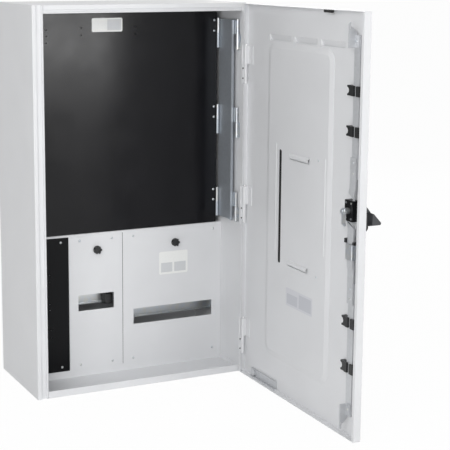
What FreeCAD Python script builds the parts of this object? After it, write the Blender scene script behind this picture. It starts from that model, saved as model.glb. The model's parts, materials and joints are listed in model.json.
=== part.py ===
import FreeCAD, Part
import math
import os

# Wall-mounted electric meter cabinet, standing open: a folded sheet housing, a door on
# concealed lift-off hinges with a rack-driven rod lock, a black meter panel carried on a
# hinged link plate, and a breaker bay behind two slotted escutcheons.
# Working frame in mm: x from the left side, y inwards from the front frame, z from the
# bottom. Each finished piece is then moved so that the origin is the centre of the four
# wall holes, on the back's outer face.

V = FreeCAD.Vector

# Overall housing
WIDTH = 625.0
HEIGHT = 1060.0
DEPTH = 310.0
SHEET = 1.5
BEND = 1.0

# Front frame
LATCH_POST = 31.0
LATCH_FLAT = 12.0
GROOVE_WIDTH = 14.0
GROOVE_DEPTH = 5.0
POST_RETURN = 8.0
HINGE_POST = 12.0
HINGE_RETURN = 8.0
TOP_FLANGE = 22.0
TOP_FLAT = 13.0
TOP_GROOVE = 5.0
TOP_GROOVE_DEPTH = 3.0
PAN_BEND = 0.5
BOTTOM_FLANGE = 19.5
WELD_LIP = 14.0

# Wall fixing and cable entry
WALL_INSET = 50.0
WALL_HOLE_R = 5.5
GLAND_LENGTH = 320.0
GLAND_FRONT_GAP = 6.0
GLAND_OVERLAP = 14.0
GLAND_BACK = 45.0
GLAND_PLATE = 2.0

# Breaker bay
FACE_Y = 140.0
BAY_TOP = 417.0
BAY_SHELF = 60.0
BAY_LIP = 12.0
COVER_TOP_GAP = 6.5
COVER_BOTTOM = 23.0
COVER_SHEET = 1.5
PLATE_GAP = 1.4
SIDE_COVER_RIGHT = 144.0
ESCUTCHEON_WIDTH = 162.0
WINDOW_INSET = 15.0
SLOT_HEIGHT = 46.0
SLOT_LEFT_X = 172.0
SLOT_LEFT_WIDTH = 108.5
SLOT_LEFT_Z = 217.0
SLOT_RIGHT_X = 341.5
SLOT_RIGHT_WIDTH = 252.0
SLOT_RIGHT_Z = 160.0
SCREW_INSET_X = 32.0
SCREW_INSET_Z = 13.0
SCREW_HEAD_R = 3.6
SCREW_HEAD = 2.4
SCREW_R = 2.0
SCREW_LENGTH = 7.0
THREAD_GAP = 0.05
SIDE_HOLE_R = 2.4
SIDE_HOLE_INSET = 54.0
SIDE_HOLES = ((0.0, 126.0, 1.0), (0.0, 150.0, 1.0), (-3.0, 206.0, 0.6), (-3.0, 223.0, 0.6),
              (-3.0, 287.0, 0.6), (-3.0, 307.0, 0.6))

# Quarter-turn knobs
KNOB_LEFT_X = 230.0
KNOB_RIGHT_X = 473.0
KNOB_DROP = 42.5
KNOB_R = 11.5
KNOB_HEIGHT = 10.0
KNOB_LOBES = 6
KNOB_LOBE_R = 3.6
KNOB_SHAFT_R = 4.0
ARM_LENGTH = 36.0
ARM_WIDTH = 12.0
ARM_SHEET = 2.0
RUNNING_GAP = 0.06
TURN_GAP = 0.4

# Mounting rails
RAIL_SETBACK = 48.0
RAIL_HEIGHT = 35.0
RAIL_DEPTH = 7.5
RAIL_CROWN = 27.0
RAIL_SHEET = 1.0
BRACKET_SHEET = 1.5
BRACKET_FOOT = 11.0
BRACKET_HEIGHT = 44.0
END_STOP_WIDTH = 20.0
END_STOP_HEIGHT = 40.0

# Meter panel and link plate
PANEL_LEFT = 50.0
PANEL_RIGHT_GAP = 20.0
PANEL_TOP_GAP = 29.0
PANEL_SHEET = 4.0
PANEL_RIM = 12.0
PANEL_HOLE_R = 2.0
PANEL_HOLES = ((37.0, 43.0), (38.0, 60.0), (37.0, 78.0), (139.0, 39.0), (139.0, 59.0),
               (300.0, 39.0), (300.0, 59.0))
STOP_WIDTH = 72.0
STOP_LEG = 25.0
STOP_INSET = 12.0
SEAT_GAP = 0.3
LINK_FRONT = 48.0
LINK_REAR = 138.0
LINK_INSET = 13.0
LINK_SHEET = 2.0
LINK_FLANGE = 7.0
LINK_BOTTOM = 438.0
LINK_TOP_GAP = 50.0
LEAF = 2.0
KNUCKLE_Z = (437.0, 680.0, HEIGHT - 131.5)
KNUCKLE_LENGTH = 84.0
KNUCKLE_GAP = 0.4
LINK_PIN_INSET = 8.0
LINK_PIN_Y = 35.0
LINK_KNUCKLE_R = 4.0
WALL_KNUCKLE_R = 5.5
PANEL_PIN_INSET = 18.0
PANEL_PIN_Y = 136.0
PANEL_KNUCKLE_R = 4.0
PIN_R = 2.4
PANEL_SCREW_INSET = 28.5
PANEL_LEAF_EDGE = 10.0
LINK_REAR_LEAF = 32.0
LINK_FRONT_LEAF = 34.0
WALL_LEAF_FRONT = 14.0
WALL_LEAF_BACK = 22.0
PANEL_SCREW_PITCH = 30.0

# Door
DOOR_OPEN = 89.0
DOOR_GAP = 2.0
DOOR_DEPTH = 20.0
DOOR_TRIM = 2.5
DOOR_SHEET = 1.5
DOOR_LIP = 10.0
HINGE_INSET = 6.0
HINGE_FORWARD = 11.0
DOOR_KNUCKLE_R = 4.3
DOOR_PIN_R = 2.2
HINGE_Z = (57.0, 442.0, HEIGHT - 221.0)
HINGE_LENGTH = 103.0
NOTCH_GAP = 3.0
NOTCH_DEPTH = 15.0
FRAME_LEAF = 1.8
DOOR_LEAF_WIDTH = 26.0
FRAME_RIVET_PITCH = 28.0
FRAME_RIVET_R = 2.2
FRAME_RIVET_HEAD = 0.9
LEAF_INSET = 2.0

# Door louvres
LOUVRE_COUNT = 3
LOUVRE_LENGTH = 120.0
LOUVRE_HEIGHT = 21.0
LOUVRE_DEPTH = 8.0
LOUVRE_PITCH = 135.0
LOUVRE_FIRST_X = 109.0
LOUVRE_TOP_GAP = 99.0
LOUVRE_MOUTH = 3.5

# Door liner with document pocket
LINER_SHEET = 1.0
LINER_RISE = 4.0
LINER_X = 160.0
LINER_WIDTH = 341.0
LINER_Z = 95.0
LINER_TOP_GAP = 100.0
LINER_CORNER = 34.0
LINER_SLOPE = 16.0
LINER_EDGE = 0.8
POCKET_SLOT_X = 414.0
POCKET_SLOT_WIDTH = 14.0
POCKET_SLOT_Z = 367.0
POCKET_SLOT_LENGTH = 310.0
LOOP_X = 268.0
LOOP_LENGTH = 100.0
LOOP_HEIGHT = 16.0
LOOP_RISE = 5.0
LOOP_GAP = 3.0
LOOP_RELIEF_R = 2.8
LOOP_Z = (370.0, 658.0)
LINER_SCREW_X = 221.0

# Rod lock
LOCK_X = 50.0
LOCK_Z = 577.0
CASE_WIDTH = 37.0
CASE_HEIGHT = 52.0
CASE_WALL = 1.5
CASE_TOP = -3.0
SPINDLE_R = 5.0
GEAR_MODULE = 1.25
GEAR_TEETH = 15
GEAR_THICK = 4.0
BACKLASH = 0.24
RACK_BAR = 7.0
RACK_REACH = 22.0
ROD_X = 42.0
ROD_WIDTH = 26.0
ROD_THICK = 4.0
ROD_LIFT = 5.5
LINK_LENGTH_UP = 130.0
LINK_LENGTH_DOWN = 232.0
LAP = 62.0
LINK_STEP = 4.0
LINK_SPREAD = 12.0
WAIST_UP = 46.0
WAIST_DOWN = 140.0
JOG = 9.0
ROD_TOP_GAP = 57.0
ROD_BOTTOM_GAP = 57.0
HOOK_SHEET = 2.5
HOOK_LEFT = 30.0
HOOK_RIGHT = 48.5
HOOK_REACH = 11.0
HOOK_NOSE = 5.2
HOOK_FOOT = 30.0
HOOK_TOP_GAP = 29.0
HOOK_BOTTOM_GAP = 26.0
CAM_Y = 8.8
CAM_THICK = 3.0
CAM_LENGTH = 38.0
CAM_WIDTH = 16.0
NUT_R = 7.0
NUT_THICK = 4.5
GUIDE_Z = (169.0, 284.0, 757.0, 855.0)
GUIDE_HEIGHT = 25.0
GUIDE_WALL = 4.0
GUIDE_WING = 19.0
GUIDE_OPEN = (-6.0, 5.0)
GUIDE_TOP = -5.5
SLIDE_GAP = 0.3
BRIDGE_Z = 456.0
BRIDGE_HEIGHT = 38.5
BRIDGE_SHEET = 1.5
BRIDGE_TOP = -4.0
BRIDGE_FOOT = 9.0
BRIDGE_CLEAR = 1.0
BUFFER_HEIGHT = 10.5

# Handle outside
ROSE_R = 19.0
ROSE_HEIGHT = 6.0
HANDLE_LENGTH = 92.0
HANDLE_HEIGHT = 40.0
HANDLE_DROP = 22.0
HANDLE_RISE = 63.0
HANDLE_GRIP = 31.0
HANDLE_CREST = 16.0
EYE_SHEET = 3.0
EYE_SIDE = 12.0
EYE_R = 12.0
EYE_HOLE_R = 7.5
EYE_DROP = 43.0
EYE_REACH = 30.0

# Small door fittings
STAY_INSET = 197.0
STAY_LENGTH = 143.0
STAY_HEIGHT = 24.0
STAY_DEPTH = 8.0
STAY_SHEET = 1.5
STAY_STOP = 22.0
BUMPER_X = 155.0
BUMPER_LENGTH = 34.0
BUMPER_HEIGHT = 7.0
BUMPER_DEPTH = 9.0

# Derived planes
ORIGIN = V(-WIDTH / 2, -DEPTH, -HEIGHT / 2)
INNER_RIGHT = WIDTH - SHEET
INNER_BACK = DEPTH - SHEET
WALL_HOLES_X = WIDTH - 2 * WALL_INSET
WALL_HOLES_Z = HEIGHT - 2 * WALL_INSET
COVER_TOP = BAY_TOP - COVER_TOP_GAP
BAY_Y = FACE_Y + COVER_SHEET
PANEL_BOTTOM = BAY_TOP + 1.0
PANEL_TOP = HEIGHT - PANEL_TOP_GAP
PANEL_RIGHT = WIDTH - PANEL_RIGHT_GAP
PANEL_BACK = FACE_Y + PANEL_SHEET
PANEL_PIN_X = WIDTH - PANEL_PIN_INSET
PANEL_SCREW_X = WIDTH - PANEL_SCREW_INSET
LINK_X = WIDTH - LINK_INSET
LINK_PIN_X = WIDTH - LINK_PIN_INSET
LINK_TOP = HEIGHT - LINK_TOP_GAP
ESCUTCHEON_LEFT = SIDE_COVER_RIGHT + PLATE_GAP
ESCUTCHEON_MIDDLE = ESCUTCHEON_LEFT + ESCUTCHEON_WIDTH
ESCUTCHEON_RIGHT = ESCUTCHEON_MIDDLE + PLATE_GAP
ESCUTCHEON_END = INNER_RIGHT - SEAT_GAP
KNOB_Z = COVER_TOP - KNOB_DROP
RAIL_Y = FACE_Y + RAIL_SETBACK
HINGE_X = WIDTH - HINGE_INSET
HINGE_Y = -HINGE_FORWARD
RIM_Y = -DOOR_GAP
SKIN_OUT = -DOOR_GAP - DOOR_DEPTH
SKIN_IN = SKIN_OUT + DOOR_SHEET
DOOR_BOTTOM = DOOR_TRIM
DOOR_TOP = HEIGHT - DOOR_TRIM
LOUVRE_Z = HEIGHT - LOUVRE_TOP_GAP
LINER_HEIGHT = HEIGHT - LINER_TOP_GAP - LINER_Z
STAY_X = WIDTH - STAY_INSET
GEAR_R = GEAR_MODULE * GEAR_TEETH / 2
ROD_Y = SKIN_IN + ROD_LIFT
RACK_Y = ROD_Y + ROD_THICK
CASE_LEFT = LOCK_X - CASE_WIDTH / 2
CASE_BOTTOM = LOCK_Z - CASE_HEIGHT / 2


def box(x0, x1, y0, y1, z0, z1):
    return Part.makeBox(x1 - x0, y1 - y0, z1 - z0, V(x0, y0, z0))


AXES = {"x": V(1, 0, 0), "y": V(0, 1, 0), "z": V(0, 0, 1)}


def rod(axis, centre, radius, low, high):
    """A cylinder along one axis from low to high; centre gives the other two values."""
    a, b = centre
    start = {"x": V(low, a, b), "y": V(a, low, b), "z": V(a, b, low)}[axis]
    return Part.makeCylinder(radius, high - low, start, AXES[axis])


def outline(points, radii, place):
    """A closed wire through points, each corner rounded by its radius."""
    count = len(points)
    edges = []
    ends = []
    for i, p in enumerate(points):
        p = FreeCAD.Vector(p[0], p[1], 0)
        back = V(*points[i - 1], 0) - p
        ahead = V(*points[(i + 1) % count], 0) - p
        r = radii[i]
        if r <= 0:
            ends.append((p, None, p))
            continue
        u, v = back.normalize(), ahead.normalize()
        half = u.getAngle(v) / 2
        mid = (u + v).normalize()
        cut = r / math.tan(half)
        top = p + mid * (r / math.sin(half) - r)
        ends.append((p + u * cut, top, p + v * cut))
    for i, (start, top, end) in enumerate(ends):
        if top is not None:
            arc = Part.Arc(place(start), place(top), place(end))
            edges.append(arc.toShape())
        after = ends[(i + 1) % count][0]
        if (after - end).Length > 1e-6:
            edges.append(Part.makeLine(place(end), place(after)))
    return Part.Wire(edges)


def prism(points, plane, low, high, radii=0.0):
    """An outline in plane xy, xz or yz, pushed along the third axis from low to high."""
    if isinstance(radii, (int, float)):
        radii = [radii] * len(points)
    place, push = {
        "xy": (lambda p: V(p.x, p.y, low), V(0, 0, high - low)),
        "xz": (lambda p: V(p.x, low, p.y), V(0, high - low, 0)),
        "yz": (lambda p: V(low, p.x, p.y), V(high - low, 0, 0)),
    }[plane]
    return Part.Face(outline(points, radii, place)).extrude(push)


def folded(path, thick, plane, low, high, bend=BEND):
    """Sheet bent along path, with its thickness to the path's left, pushed low to high."""
    near, far, near_r, far_r = [], [], [], []
    last = len(path) - 1
    for i, p in enumerate(path):
        p = V(*p, 0)
        into = (p - V(*path[i - 1], 0)).normalize() if i else None
        out = (V(*path[i + 1], 0) - p).normalize() if i < last else None
        into = into or out
        out = out or into
        n0, n1 = V(-into.y, into.x, 0), V(-out.y, out.x, 0)
        shift = (n0 + n1) * (thick / (1 + n0.dot(n1)))
        turn = into.x * out.y - into.y * out.x
        near.append((p.x, p.y))
        far.append((p.x + shift.x, p.y + shift.y))
        inner, outer = (bend, bend + abs(thick)) if abs(turn) > 1e-6 else (0, 0)
        near_r.append(outer if turn * thick > 0 else inner)
        far_r.append(inner if turn * thick > 0 else outer)
    points = near + far[::-1]
    return prism(points, plane, low, high, near_r + far_r[::-1])


def fuse(shapes):
    first, rest = shapes[0], shapes[1:]
    return first.multiFuse(rest).removeSplitter() if rest else first


def cut(shape, tools):
    return shape.cut(Part.makeCompound(tools)).removeSplitter()


def dome_screw(axis_y, x, z, seat, into=1, head_r=SCREW_HEAD_R, head=SCREW_HEAD):
    """A domed screw along y: its head stands before seat, its shank goes into the work."""
    ball_r = (head_r ** 2 + head ** 2) / (2 * head)
    base = V(x, seat, z)
    ball = Part.makeSphere(ball_r, base + V(0, into * (ball_r - head), 0))
    low, high = sorted((seat, seat - into * head))
    cap = ball.common(rod("y", (x, z), head_r, low, high))
    slot = box(x - head_r, x + head_r, low - 1, high + 1, z - 0.5, z + 0.5)
    bottom = seat - into * head * 0.45
    keep = sorted((bottom, seat - into * head - 1))
    slot = slot.common(box(x - head_r, x + head_r, keep[0], keep[1], z - 1, z + 1))
    low, high = sorted((seat, seat + into * axis_y))
    shank = rod("y", (x, z), SCREW_R, low, high)
    return fuse([cap.cut(slot), shank])


def housing_wrap():
    """Left side, back and right side in one sheet, with both front posts folded on it."""
    groove_end = LATCH_FLAT + GROOVE_WIDTH
    path = [
        (LATCH_POST, POST_RETURN),
        (LATCH_POST, 0),
        (groove_end, 0),
        (groove_end, GROOVE_DEPTH),
        (LATCH_FLAT, GROOVE_DEPTH),
        (LATCH_FLAT, 0),
        (0, 0),
        (0, DEPTH),
        (WIDTH, DEPTH),
        (WIDTH, 0),
        (WIDTH - HINGE_POST, 0),
        (WIDTH - HINGE_POST, HINGE_RETURN),
    ]
    sheet = folded(path[::-1], SHEET, "xy", 0, HEIGHT)
    holes = [
        rod("y", (WIDTH / 2 + i * WALL_HOLES_X / 2, HEIGHT / 2 + k * WALL_HOLES_Z / 2),
            WALL_HOLE_R, INNER_BACK - 1, DEPTH + 1)
        for i in (-1, 1)
        for k in (-1, 1)
    ]
    return cut(sheet, holes)


def top_groove():
    """The pressed groove along the roof's front flange, from its lip upwards."""
    low = HEIGHT - TOP_FLAT - TOP_GROOVE
    high = HEIGHT - TOP_FLAT
    return [(0, low), (TOP_GROOVE_DEPTH, low), (TOP_GROOVE_DEPTH, high), (0, high)]


def end_pan(level, flange, up, wrap, groove):
    """Roof or floor: a sheet with a front flange and weld lips, trimmed to the wrap."""
    path = [(0, level + up * flange)] + groove
    path += [(0, level), (INNER_BACK, level), (INNER_BACK, level + up * WELD_LIP)]
    middle = folded(path, up * SHEET, "yz", LATCH_POST, WIDTH - HINGE_POST, PAN_BEND)
    low, high = sorted((level, level + up * SHEET))
    behind_groove = GROOVE_DEPTH + SHEET
    left = box(SHEET, LATCH_POST, behind_groove, INNER_BACK, low, high)
    corner = box(SHEET, LATCH_FLAT - SHEET, SHEET, behind_groove, low, high)
    right = box(WIDTH - HINGE_POST, INNER_RIGHT, SHEET, INNER_BACK, low, high)
    low, high = sorted((level, level + up * WELD_LIP))
    left_lip = box(SHEET, 2 * SHEET, LATCH_FLAT, INNER_BACK, low, high)
    right_lip = box(INNER_RIGHT - SHEET, INNER_RIGHT, LATCH_FLAT, INNER_BACK, low, high)
    whole = fuse([middle, left, corner, right, left_lip, right_lip])
    return whole.cut(wrap).removeSplitter()


def gland_frame():
    """The cable entry in the floor: left, right, front and back limits of the opening."""
    left = (WIDTH - GLAND_LENGTH) / 2
    front = BAY_Y + BAY_LIP + GLAND_OVERLAP + GLAND_FRONT_GAP
    return left, left + GLAND_LENGTH, front, INNER_BACK - GLAND_BACK


def gland_screw_places():
    left, right, front, back = gland_frame()
    half = GLAND_OVERLAP / 2
    xs = (left - half, (left + right) / 2, right + half)
    return [(x, y) for x in xs for y in (front - half, back + half)]


def floor_panel(wrap):
    left, right, front, back = gland_frame()
    pan = end_pan(0, BOTTOM_FLANGE, 1, wrap, [])
    holes = [rod("z", p, SCREW_R + THREAD_GAP, -1, SHEET + 1) for p in gland_screw_places()]
    return cut(pan, [box(left, right, front, back, -1, SHEET + 1)] + holes)


def gland_plate():
    left, right, front, back = gland_frame()
    o = GLAND_OVERLAP
    corners = [(left - o, front - o), (right + o, front - o), (right + o, back + o),
               (left - o, back + o)]
    plate = prism(corners, "xy", SHEET, SHEET + GLAND_PLATE, o / 2)
    holes = [rod("z", p, SCREW_R + THREAD_GAP, 0, SHEET + GLAND_PLATE + 1)
             for p in gland_screw_places()]
    return cut(plate, holes)


def gland_screws():
    top = SHEET + GLAND_PLATE
    return Part.makeCompound([
        fuse([rod("z", p, SCREW_R, 0, top), rod("z", p, SCREW_HEAD_R, top, top + SCREW_HEAD)])
        for p in gland_screw_places()
    ])


def cover_bounds():
    """Left and right limits of the side cover and the two escutcheons."""
    return (
        (SHEET + SEAT_GAP, SIDE_COVER_RIGHT),
        (ESCUTCHEON_LEFT, ESCUTCHEON_MIDDLE),
        (ESCUTCHEON_RIGHT, ESCUTCHEON_END),
    )


def front_screw_places():
    """Two screws in the side cover's right margin and four in each escutcheon."""
    side, left, right = cover_bounds()
    low, high = COVER_BOTTOM + SCREW_INSET_Z, COVER_TOP - SCREW_INSET_Z
    xs = [side[1] - 23.0, left[0] + SCREW_INSET_X, left[1] - SCREW_INSET_X,
          right[0] + SCREW_INSET_X, right[1] - SCREW_INSET_X + 5.0]
    return [(x, z) for x in xs for z in (low, high)]


def screw_band():
    """How far the bay frame's face reaches in from the covers' top and bottom edges."""
    return SCREW_INSET_Z + 2 * SCREW_HEAD_R


def bay_windows():
    band = screw_band()
    low, high = COVER_BOTTOM + band, COVER_TOP - band
    side, left, right = cover_bounds()
    spans = [(side[0] + 2 * WINDOW_INSET, side[1] - 3 * WINDOW_INSET),
             (left[0] + WINDOW_INSET, left[1] - WINDOW_INSET),
             (right[0] + WINDOW_INSET, right[1] - WINDOW_INSET)]
    return [box(a, b, BAY_Y - 1, BAY_Y + SHEET + 1, low, high) for a, b in spans]


def bay_frame():
    """Face frame of the breaker bay: three windows, a shelf on top and side lips."""
    y0, y1 = BAY_Y, BAY_Y + SHEET
    x0, x1 = SHEET, INNER_RIGHT
    path = [(y0, SHEET), (y0, BAY_TOP), (y0 + BAY_SHELF, BAY_TOP),
            (y0 + BAY_SHELF, BAY_TOP - BAY_LIP)]
    sheet = folded(path[::-1], SHEET, "yz", x0, x1)
    foot = box(2 * SHEET, x1 - SHEET, y0, y0 + BAY_LIP, SHEET, 2 * SHEET)
    left = box(x0, x0 + SHEET, y1, y0 + 2 * BAY_LIP, WELD_LIP + SHEET, BAY_TOP - 2 * SHEET)
    right = box(x1 - SHEET, x1, y1, y0 + 2 * BAY_LIP, WELD_LIP + SHEET, BAY_TOP - 2 * SHEET)
    lips = [box(x0, x0 + SHEET, y0, y1, 0, WELD_LIP), box(x1 - SHEET, x1, y0, y1, 0, WELD_LIP)]
    body = cut(fuse([sheet, foot, left, right]), lips + bay_windows())
    holes = [rod("y", p, SCREW_R + THREAD_GAP, y0 - 1, y1 + 1) for p in front_screw_places()]
    return cut(body, holes)


def cover_plate(span, holes):
    corners = [(span[0], COVER_BOTTOM), (span[1], COVER_BOTTOM),
               (span[1], COVER_TOP), (span[0], COVER_TOP)]
    plate = prism(corners, "xz", FACE_Y, BAY_Y, 1.0)
    screws = [rod("y", p, SCREW_R + THREAD_GAP, FACE_Y - 1, BAY_Y + 1)
              for p in front_screw_places() if span[0] < p[0] < span[1]]
    return cut(plate, holes + screws)


def side_cover():
    side = cover_bounds()[0]
    x = side[1] - SIDE_HOLE_INSET
    holes = [rod("y", (x + dx, z), SIDE_HOLE_R * k, FACE_Y - 1, BAY_Y + 1)
             for dx, z, k in SIDE_HOLES]
    return cover_plate(side, holes)


def slot_bounds():
    """x and z limits of the two breaker slots."""
    half = SLOT_HEIGHT / 2
    return (
        (SLOT_LEFT_X, SLOT_LEFT_X + SLOT_LEFT_WIDTH, SLOT_LEFT_Z - half, SLOT_LEFT_Z + half),
        (SLOT_RIGHT_X, SLOT_RIGHT_X + SLOT_RIGHT_WIDTH, SLOT_RIGHT_Z - half,
         SLOT_RIGHT_Z + half),
    )


def escutcheon(span, slot, knob_x):
    x0, x1, z0, z1 = slot
    corners = [(x0, z0), (x1, z0), (x1, z1), (x0, z1)]
    opening = prism(corners, "xz", FACE_Y - 1, BAY_Y + 1, 1.5)
    shaft = rod("y", (knob_x, KNOB_Z), KNOB_SHAFT_R + RUNNING_GAP, FACE_Y - 1, BAY_Y + 1)
    return cover_plate(span, [opening, shaft])


def front_screws():
    return Part.makeCompound([
        dome_screw(SCREW_LENGTH, x, z, FACE_Y) for x, z in front_screw_places()
    ])


def knob(x):
    """A lobed quarter-turn knob with its shaft through the escutcheon."""
    top, seat = FACE_Y - TURN_GAP - KNOB_HEIGHT, FACE_Y - TURN_GAP
    body = rod("y", (x, KNOB_Z), KNOB_R, top, seat)
    notches = []
    for i in range(KNOB_LOBES):
        a = 2 * math.pi * (i + 0.5) / KNOB_LOBES
        place = (x + KNOB_R * 1.08 * math.cos(a), KNOB_Z + KNOB_R * 1.08 * math.sin(a))
        notches.append(rod("y", place, KNOB_LOBE_R, top - 1, seat - 2))
    grip = cut(body, notches)
    dimple = rod("y", (x, KNOB_Z), KNOB_R * 0.45, top - 1, top + 1.5)
    shaft = rod("y", (x, KNOB_Z), KNOB_SHAFT_R, seat, latch_y() + ARM_SHEET)
    return fuse([grip.cut(dimple), shaft])


def latch_y():
    return BAY_Y + SHEET + TURN_GAP


def latch_arm(x):
    """The arm behind the frame's upper band that the knob swings clear."""
    half = ARM_WIDTH / 2
    tail = KNOB_Z - half
    tip = KNOB_Z + ARM_LENGTH
    corners = [(x - half, tail), (x + half, tail), (x + half, tip), (x - half, tip)]
    arm = prism(corners, "xz", latch_y(), latch_y() + ARM_SHEET, half * 0.6)
    return cut(arm, [rod("y", (x, KNOB_Z), KNOB_SHAFT_R, 0, DEPTH)])


def rail_spans():
    """Each rail's left and right end, between the uprights that carry it."""
    inset = BRACKET_SHEET + BEND + SEAT_GAP
    side, left, right = cover_bounds()
    end = INNER_RIGHT - SHEET - inset
    return ((left[0] + inset, left[1] - inset), (right[0] + inset, end))


def din_rail(span, z):
    """A top-hat rail, open to the back, with its rims forward of the crown's web."""
    half, crown, t = RAIL_HEIGHT / 2, RAIL_CROWN / 2, RAIL_SHEET
    front, back = RAIL_Y, RAIL_Y + RAIL_DEPTH
    path = [(front, -half), (front, -crown), (back - t, -crown), (back - t, crown),
            (front, crown), (front, half)]
    path = [(y, z + w) for y, w in path]
    return folded(path[::-1], t, "yz", span[0], span[1], 0.5)


def rail_brackets():
    """Z-bent straps from the uprights' back faces to the ends of both rails."""
    pieces = []
    for span, z in zip(rail_spans(), (SLOT_LEFT_Z, SLOT_RIGHT_Z)):
        for end, way in ((span[0], 1), (span[1], -1)):
            wall = end - way * (BRACKET_SHEET + BEND)
            back = RAIL_Y + RAIL_DEPTH
            path = [(wall + way * BRACKET_FOOT, BAY_Y + SHEET), (wall, BAY_Y + SHEET),
                    (wall, back + BRACKET_SHEET), (wall + way * 2 * BRACKET_FOOT,
                                                   back + BRACKET_SHEET)]
            path = path[::-1] if way < 0 else path
            low = z - BRACKET_HEIGHT / 2
            strap = folded(path[::-1], BRACKET_SHEET, "xy", low, low + BRACKET_HEIGHT)
            pieces.append(strap)
    return Part.makeCompound(pieces)


def rail_end_stop():
    """A black clamp on the left rail's right end, seen at the end of the slot."""
    x1 = SLOT_LEFT_X + SLOT_LEFT_WIDTH + 2.0
    x0 = x1 - END_STOP_WIDTH
    half = END_STOP_HEIGHT / 2
    front = FACE_Y + RAIL_SETBACK * 0.35
    corners = [(front, SLOT_LEFT_Z - half * 0.7), (RAIL_Y, SLOT_LEFT_Z - half),
               (RAIL_Y, SLOT_LEFT_Z + half), (front, SLOT_LEFT_Z + half * 0.7)]
    return prism(corners, "yz", x0, x1, 1.5)


def meter_panel():
    """The black panel: a plate with a shallow rim folded back all round."""
    x0, x1, z0, z1 = PANEL_LEFT, PANEL_RIGHT, PANEL_BOTTOM, PANEL_TOP
    t, back = PANEL_SHEET, PANEL_BACK + PANEL_RIM
    corners = [(x0, z0), (x1, z0), (x1, z1), (x0, z1)]
    solid = prism(corners, "xz", FACE_Y, back, 3.0)
    pocket = box(x0 + t, x1 - t, FACE_Y + t, back + 1, z0 + t, z1 - t)
    holes = [rod("y", (x0 + dx, z1 - dz), PANEL_HOLE_R, FACE_Y - 1, FACE_Y + t + 1)
             for dx, dz in PANEL_HOLES]
    holes += [rod("y", p, SCREW_R + THREAD_GAP, FACE_Y - 1, FACE_Y + t + 1)
              for p in panel_screw_places()]
    notches = [box(x1 - t - 1, x1 + 1, PANEL_BACK, back + 1, low - 1, high + 1)
               for low, high in half_knuckles(True)]
    return cut(solid, [pocket] + notches + holes)


def panel_stop_angle():
    """The angle on the left side that the panel's free edge closes against."""
    y = PANEL_BACK + PANEL_RIM + SEAT_GAP
    path = [(SHEET, y + STOP_LEG), (SHEET, y), (STOP_WIDTH, y)]
    return folded(path[::-1], -SHEET, "xy", PANEL_BOTTOM + STOP_INSET, PANEL_TOP - STOP_INSET)


def half_knuckles(upper):
    """z limits of the upper or the lower half of each panel-side hinge."""
    half = (KNUCKLE_LENGTH - KNUCKLE_GAP) / 2
    start = half + KNUCKLE_GAP if upper else 0
    return [(z + start, z + start + half) for z in KNUCKLE_Z]


def panel_screw_places():
    return [(PANEL_SCREW_X, (a + b) / 2 + k * PANEL_SCREW_PITCH / 2)
            for a, b in half_knuckles(True) for k in (-1, 1)]


def panel_leaves():
    """Leaves behind the panel, each bent round its edge to the upper half of a knuckle."""
    pieces = []
    centre = (PANEL_PIN_X, PANEL_PIN_Y)
    back = PANEL_BACK + LEAF
    for low, high in half_knuckles(True):
        leaf = box(PANEL_SCREW_X - PANEL_LEAF_EDGE, PANEL_RIGHT + LEAF, PANEL_BACK, back,
                   low, high)
        web = box(PANEL_RIGHT, PANEL_RIGHT + LEAF, PANEL_PIN_Y, back, low, high)
        body = fuse([leaf, web, rod("z", centre, PANEL_KNUCKLE_R, low, high)])
        bore = rod("z", centre, PIN_R + RUNNING_GAP, low - 1, high + 1)
        screws = [rod("y", p, SCREW_R + THREAD_GAP, PANEL_BACK - 1, back + 1)
                  for p in panel_screw_places() if low < p[1] < high]
        pieces.append(cut(body, [bore] + screws))
    return Part.makeCompound(pieces)


def panel_leaf_screws():
    return Part.makeCompound([
        dome_screw(PANEL_SHEET + LEAF + 2, x, z, FACE_Y)
        for x, z in panel_screw_places()
    ])


def link_plate():
    """The link between the housing's right side and the panel: a bent, glossy sheet."""
    x = LINK_X
    path = [(x - LINK_FLANGE, LINK_FRONT), (x + LINK_SHEET, LINK_FRONT),
            (x + LINK_SHEET, LINK_REAR)]
    return folded(path, LINK_SHEET, "xy", LINK_BOTTOM, LINK_TOP)


def link_rear_leaves():
    """Leaves on the link's outer face, bent round its rear edge to a knuckle's lower half."""
    pieces = []
    centre = (PANEL_PIN_X, PANEL_PIN_Y)
    face = LINK_X + LINK_SHEET
    for low, high in half_knuckles(False):
        leaf = box(face, face + LEAF, LINK_REAR - LINK_REAR_LEAF, LINK_REAR + LEAF, low, high)
        web = box(PANEL_PIN_X, face + LEAF, LINK_REAR, LINK_REAR + LEAF, low, high)
        body = fuse([leaf, web, rod("z", centre, PANEL_KNUCKLE_R, low, high)])
        pieces.append(cut(body, [rod("z", centre, PIN_R, low - 1, high + 1)]))
    return Part.makeCompound(pieces)


def link_front_leaves():
    """Leaves on the link's outer face, each with the narrow upper half of a knuckle."""
    pieces = []
    centre = (LINK_PIN_X, LINK_PIN_Y)
    back = LINK_X + LINK_SHEET
    for low, high in half_knuckles(True):
        leaf = box(back, back + LEAF, LINK_PIN_Y,
                   LINK_PIN_Y + LINK_FRONT_LEAF, low, high)
        body = fuse([leaf, rod("z", centre, LINK_KNUCKLE_R, low, high)])
        pieces.append(cut(body, [rod("z", centre, PIN_R + RUNNING_GAP, low - 1, high + 1)]))
    return Part.makeCompound(pieces)


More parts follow.
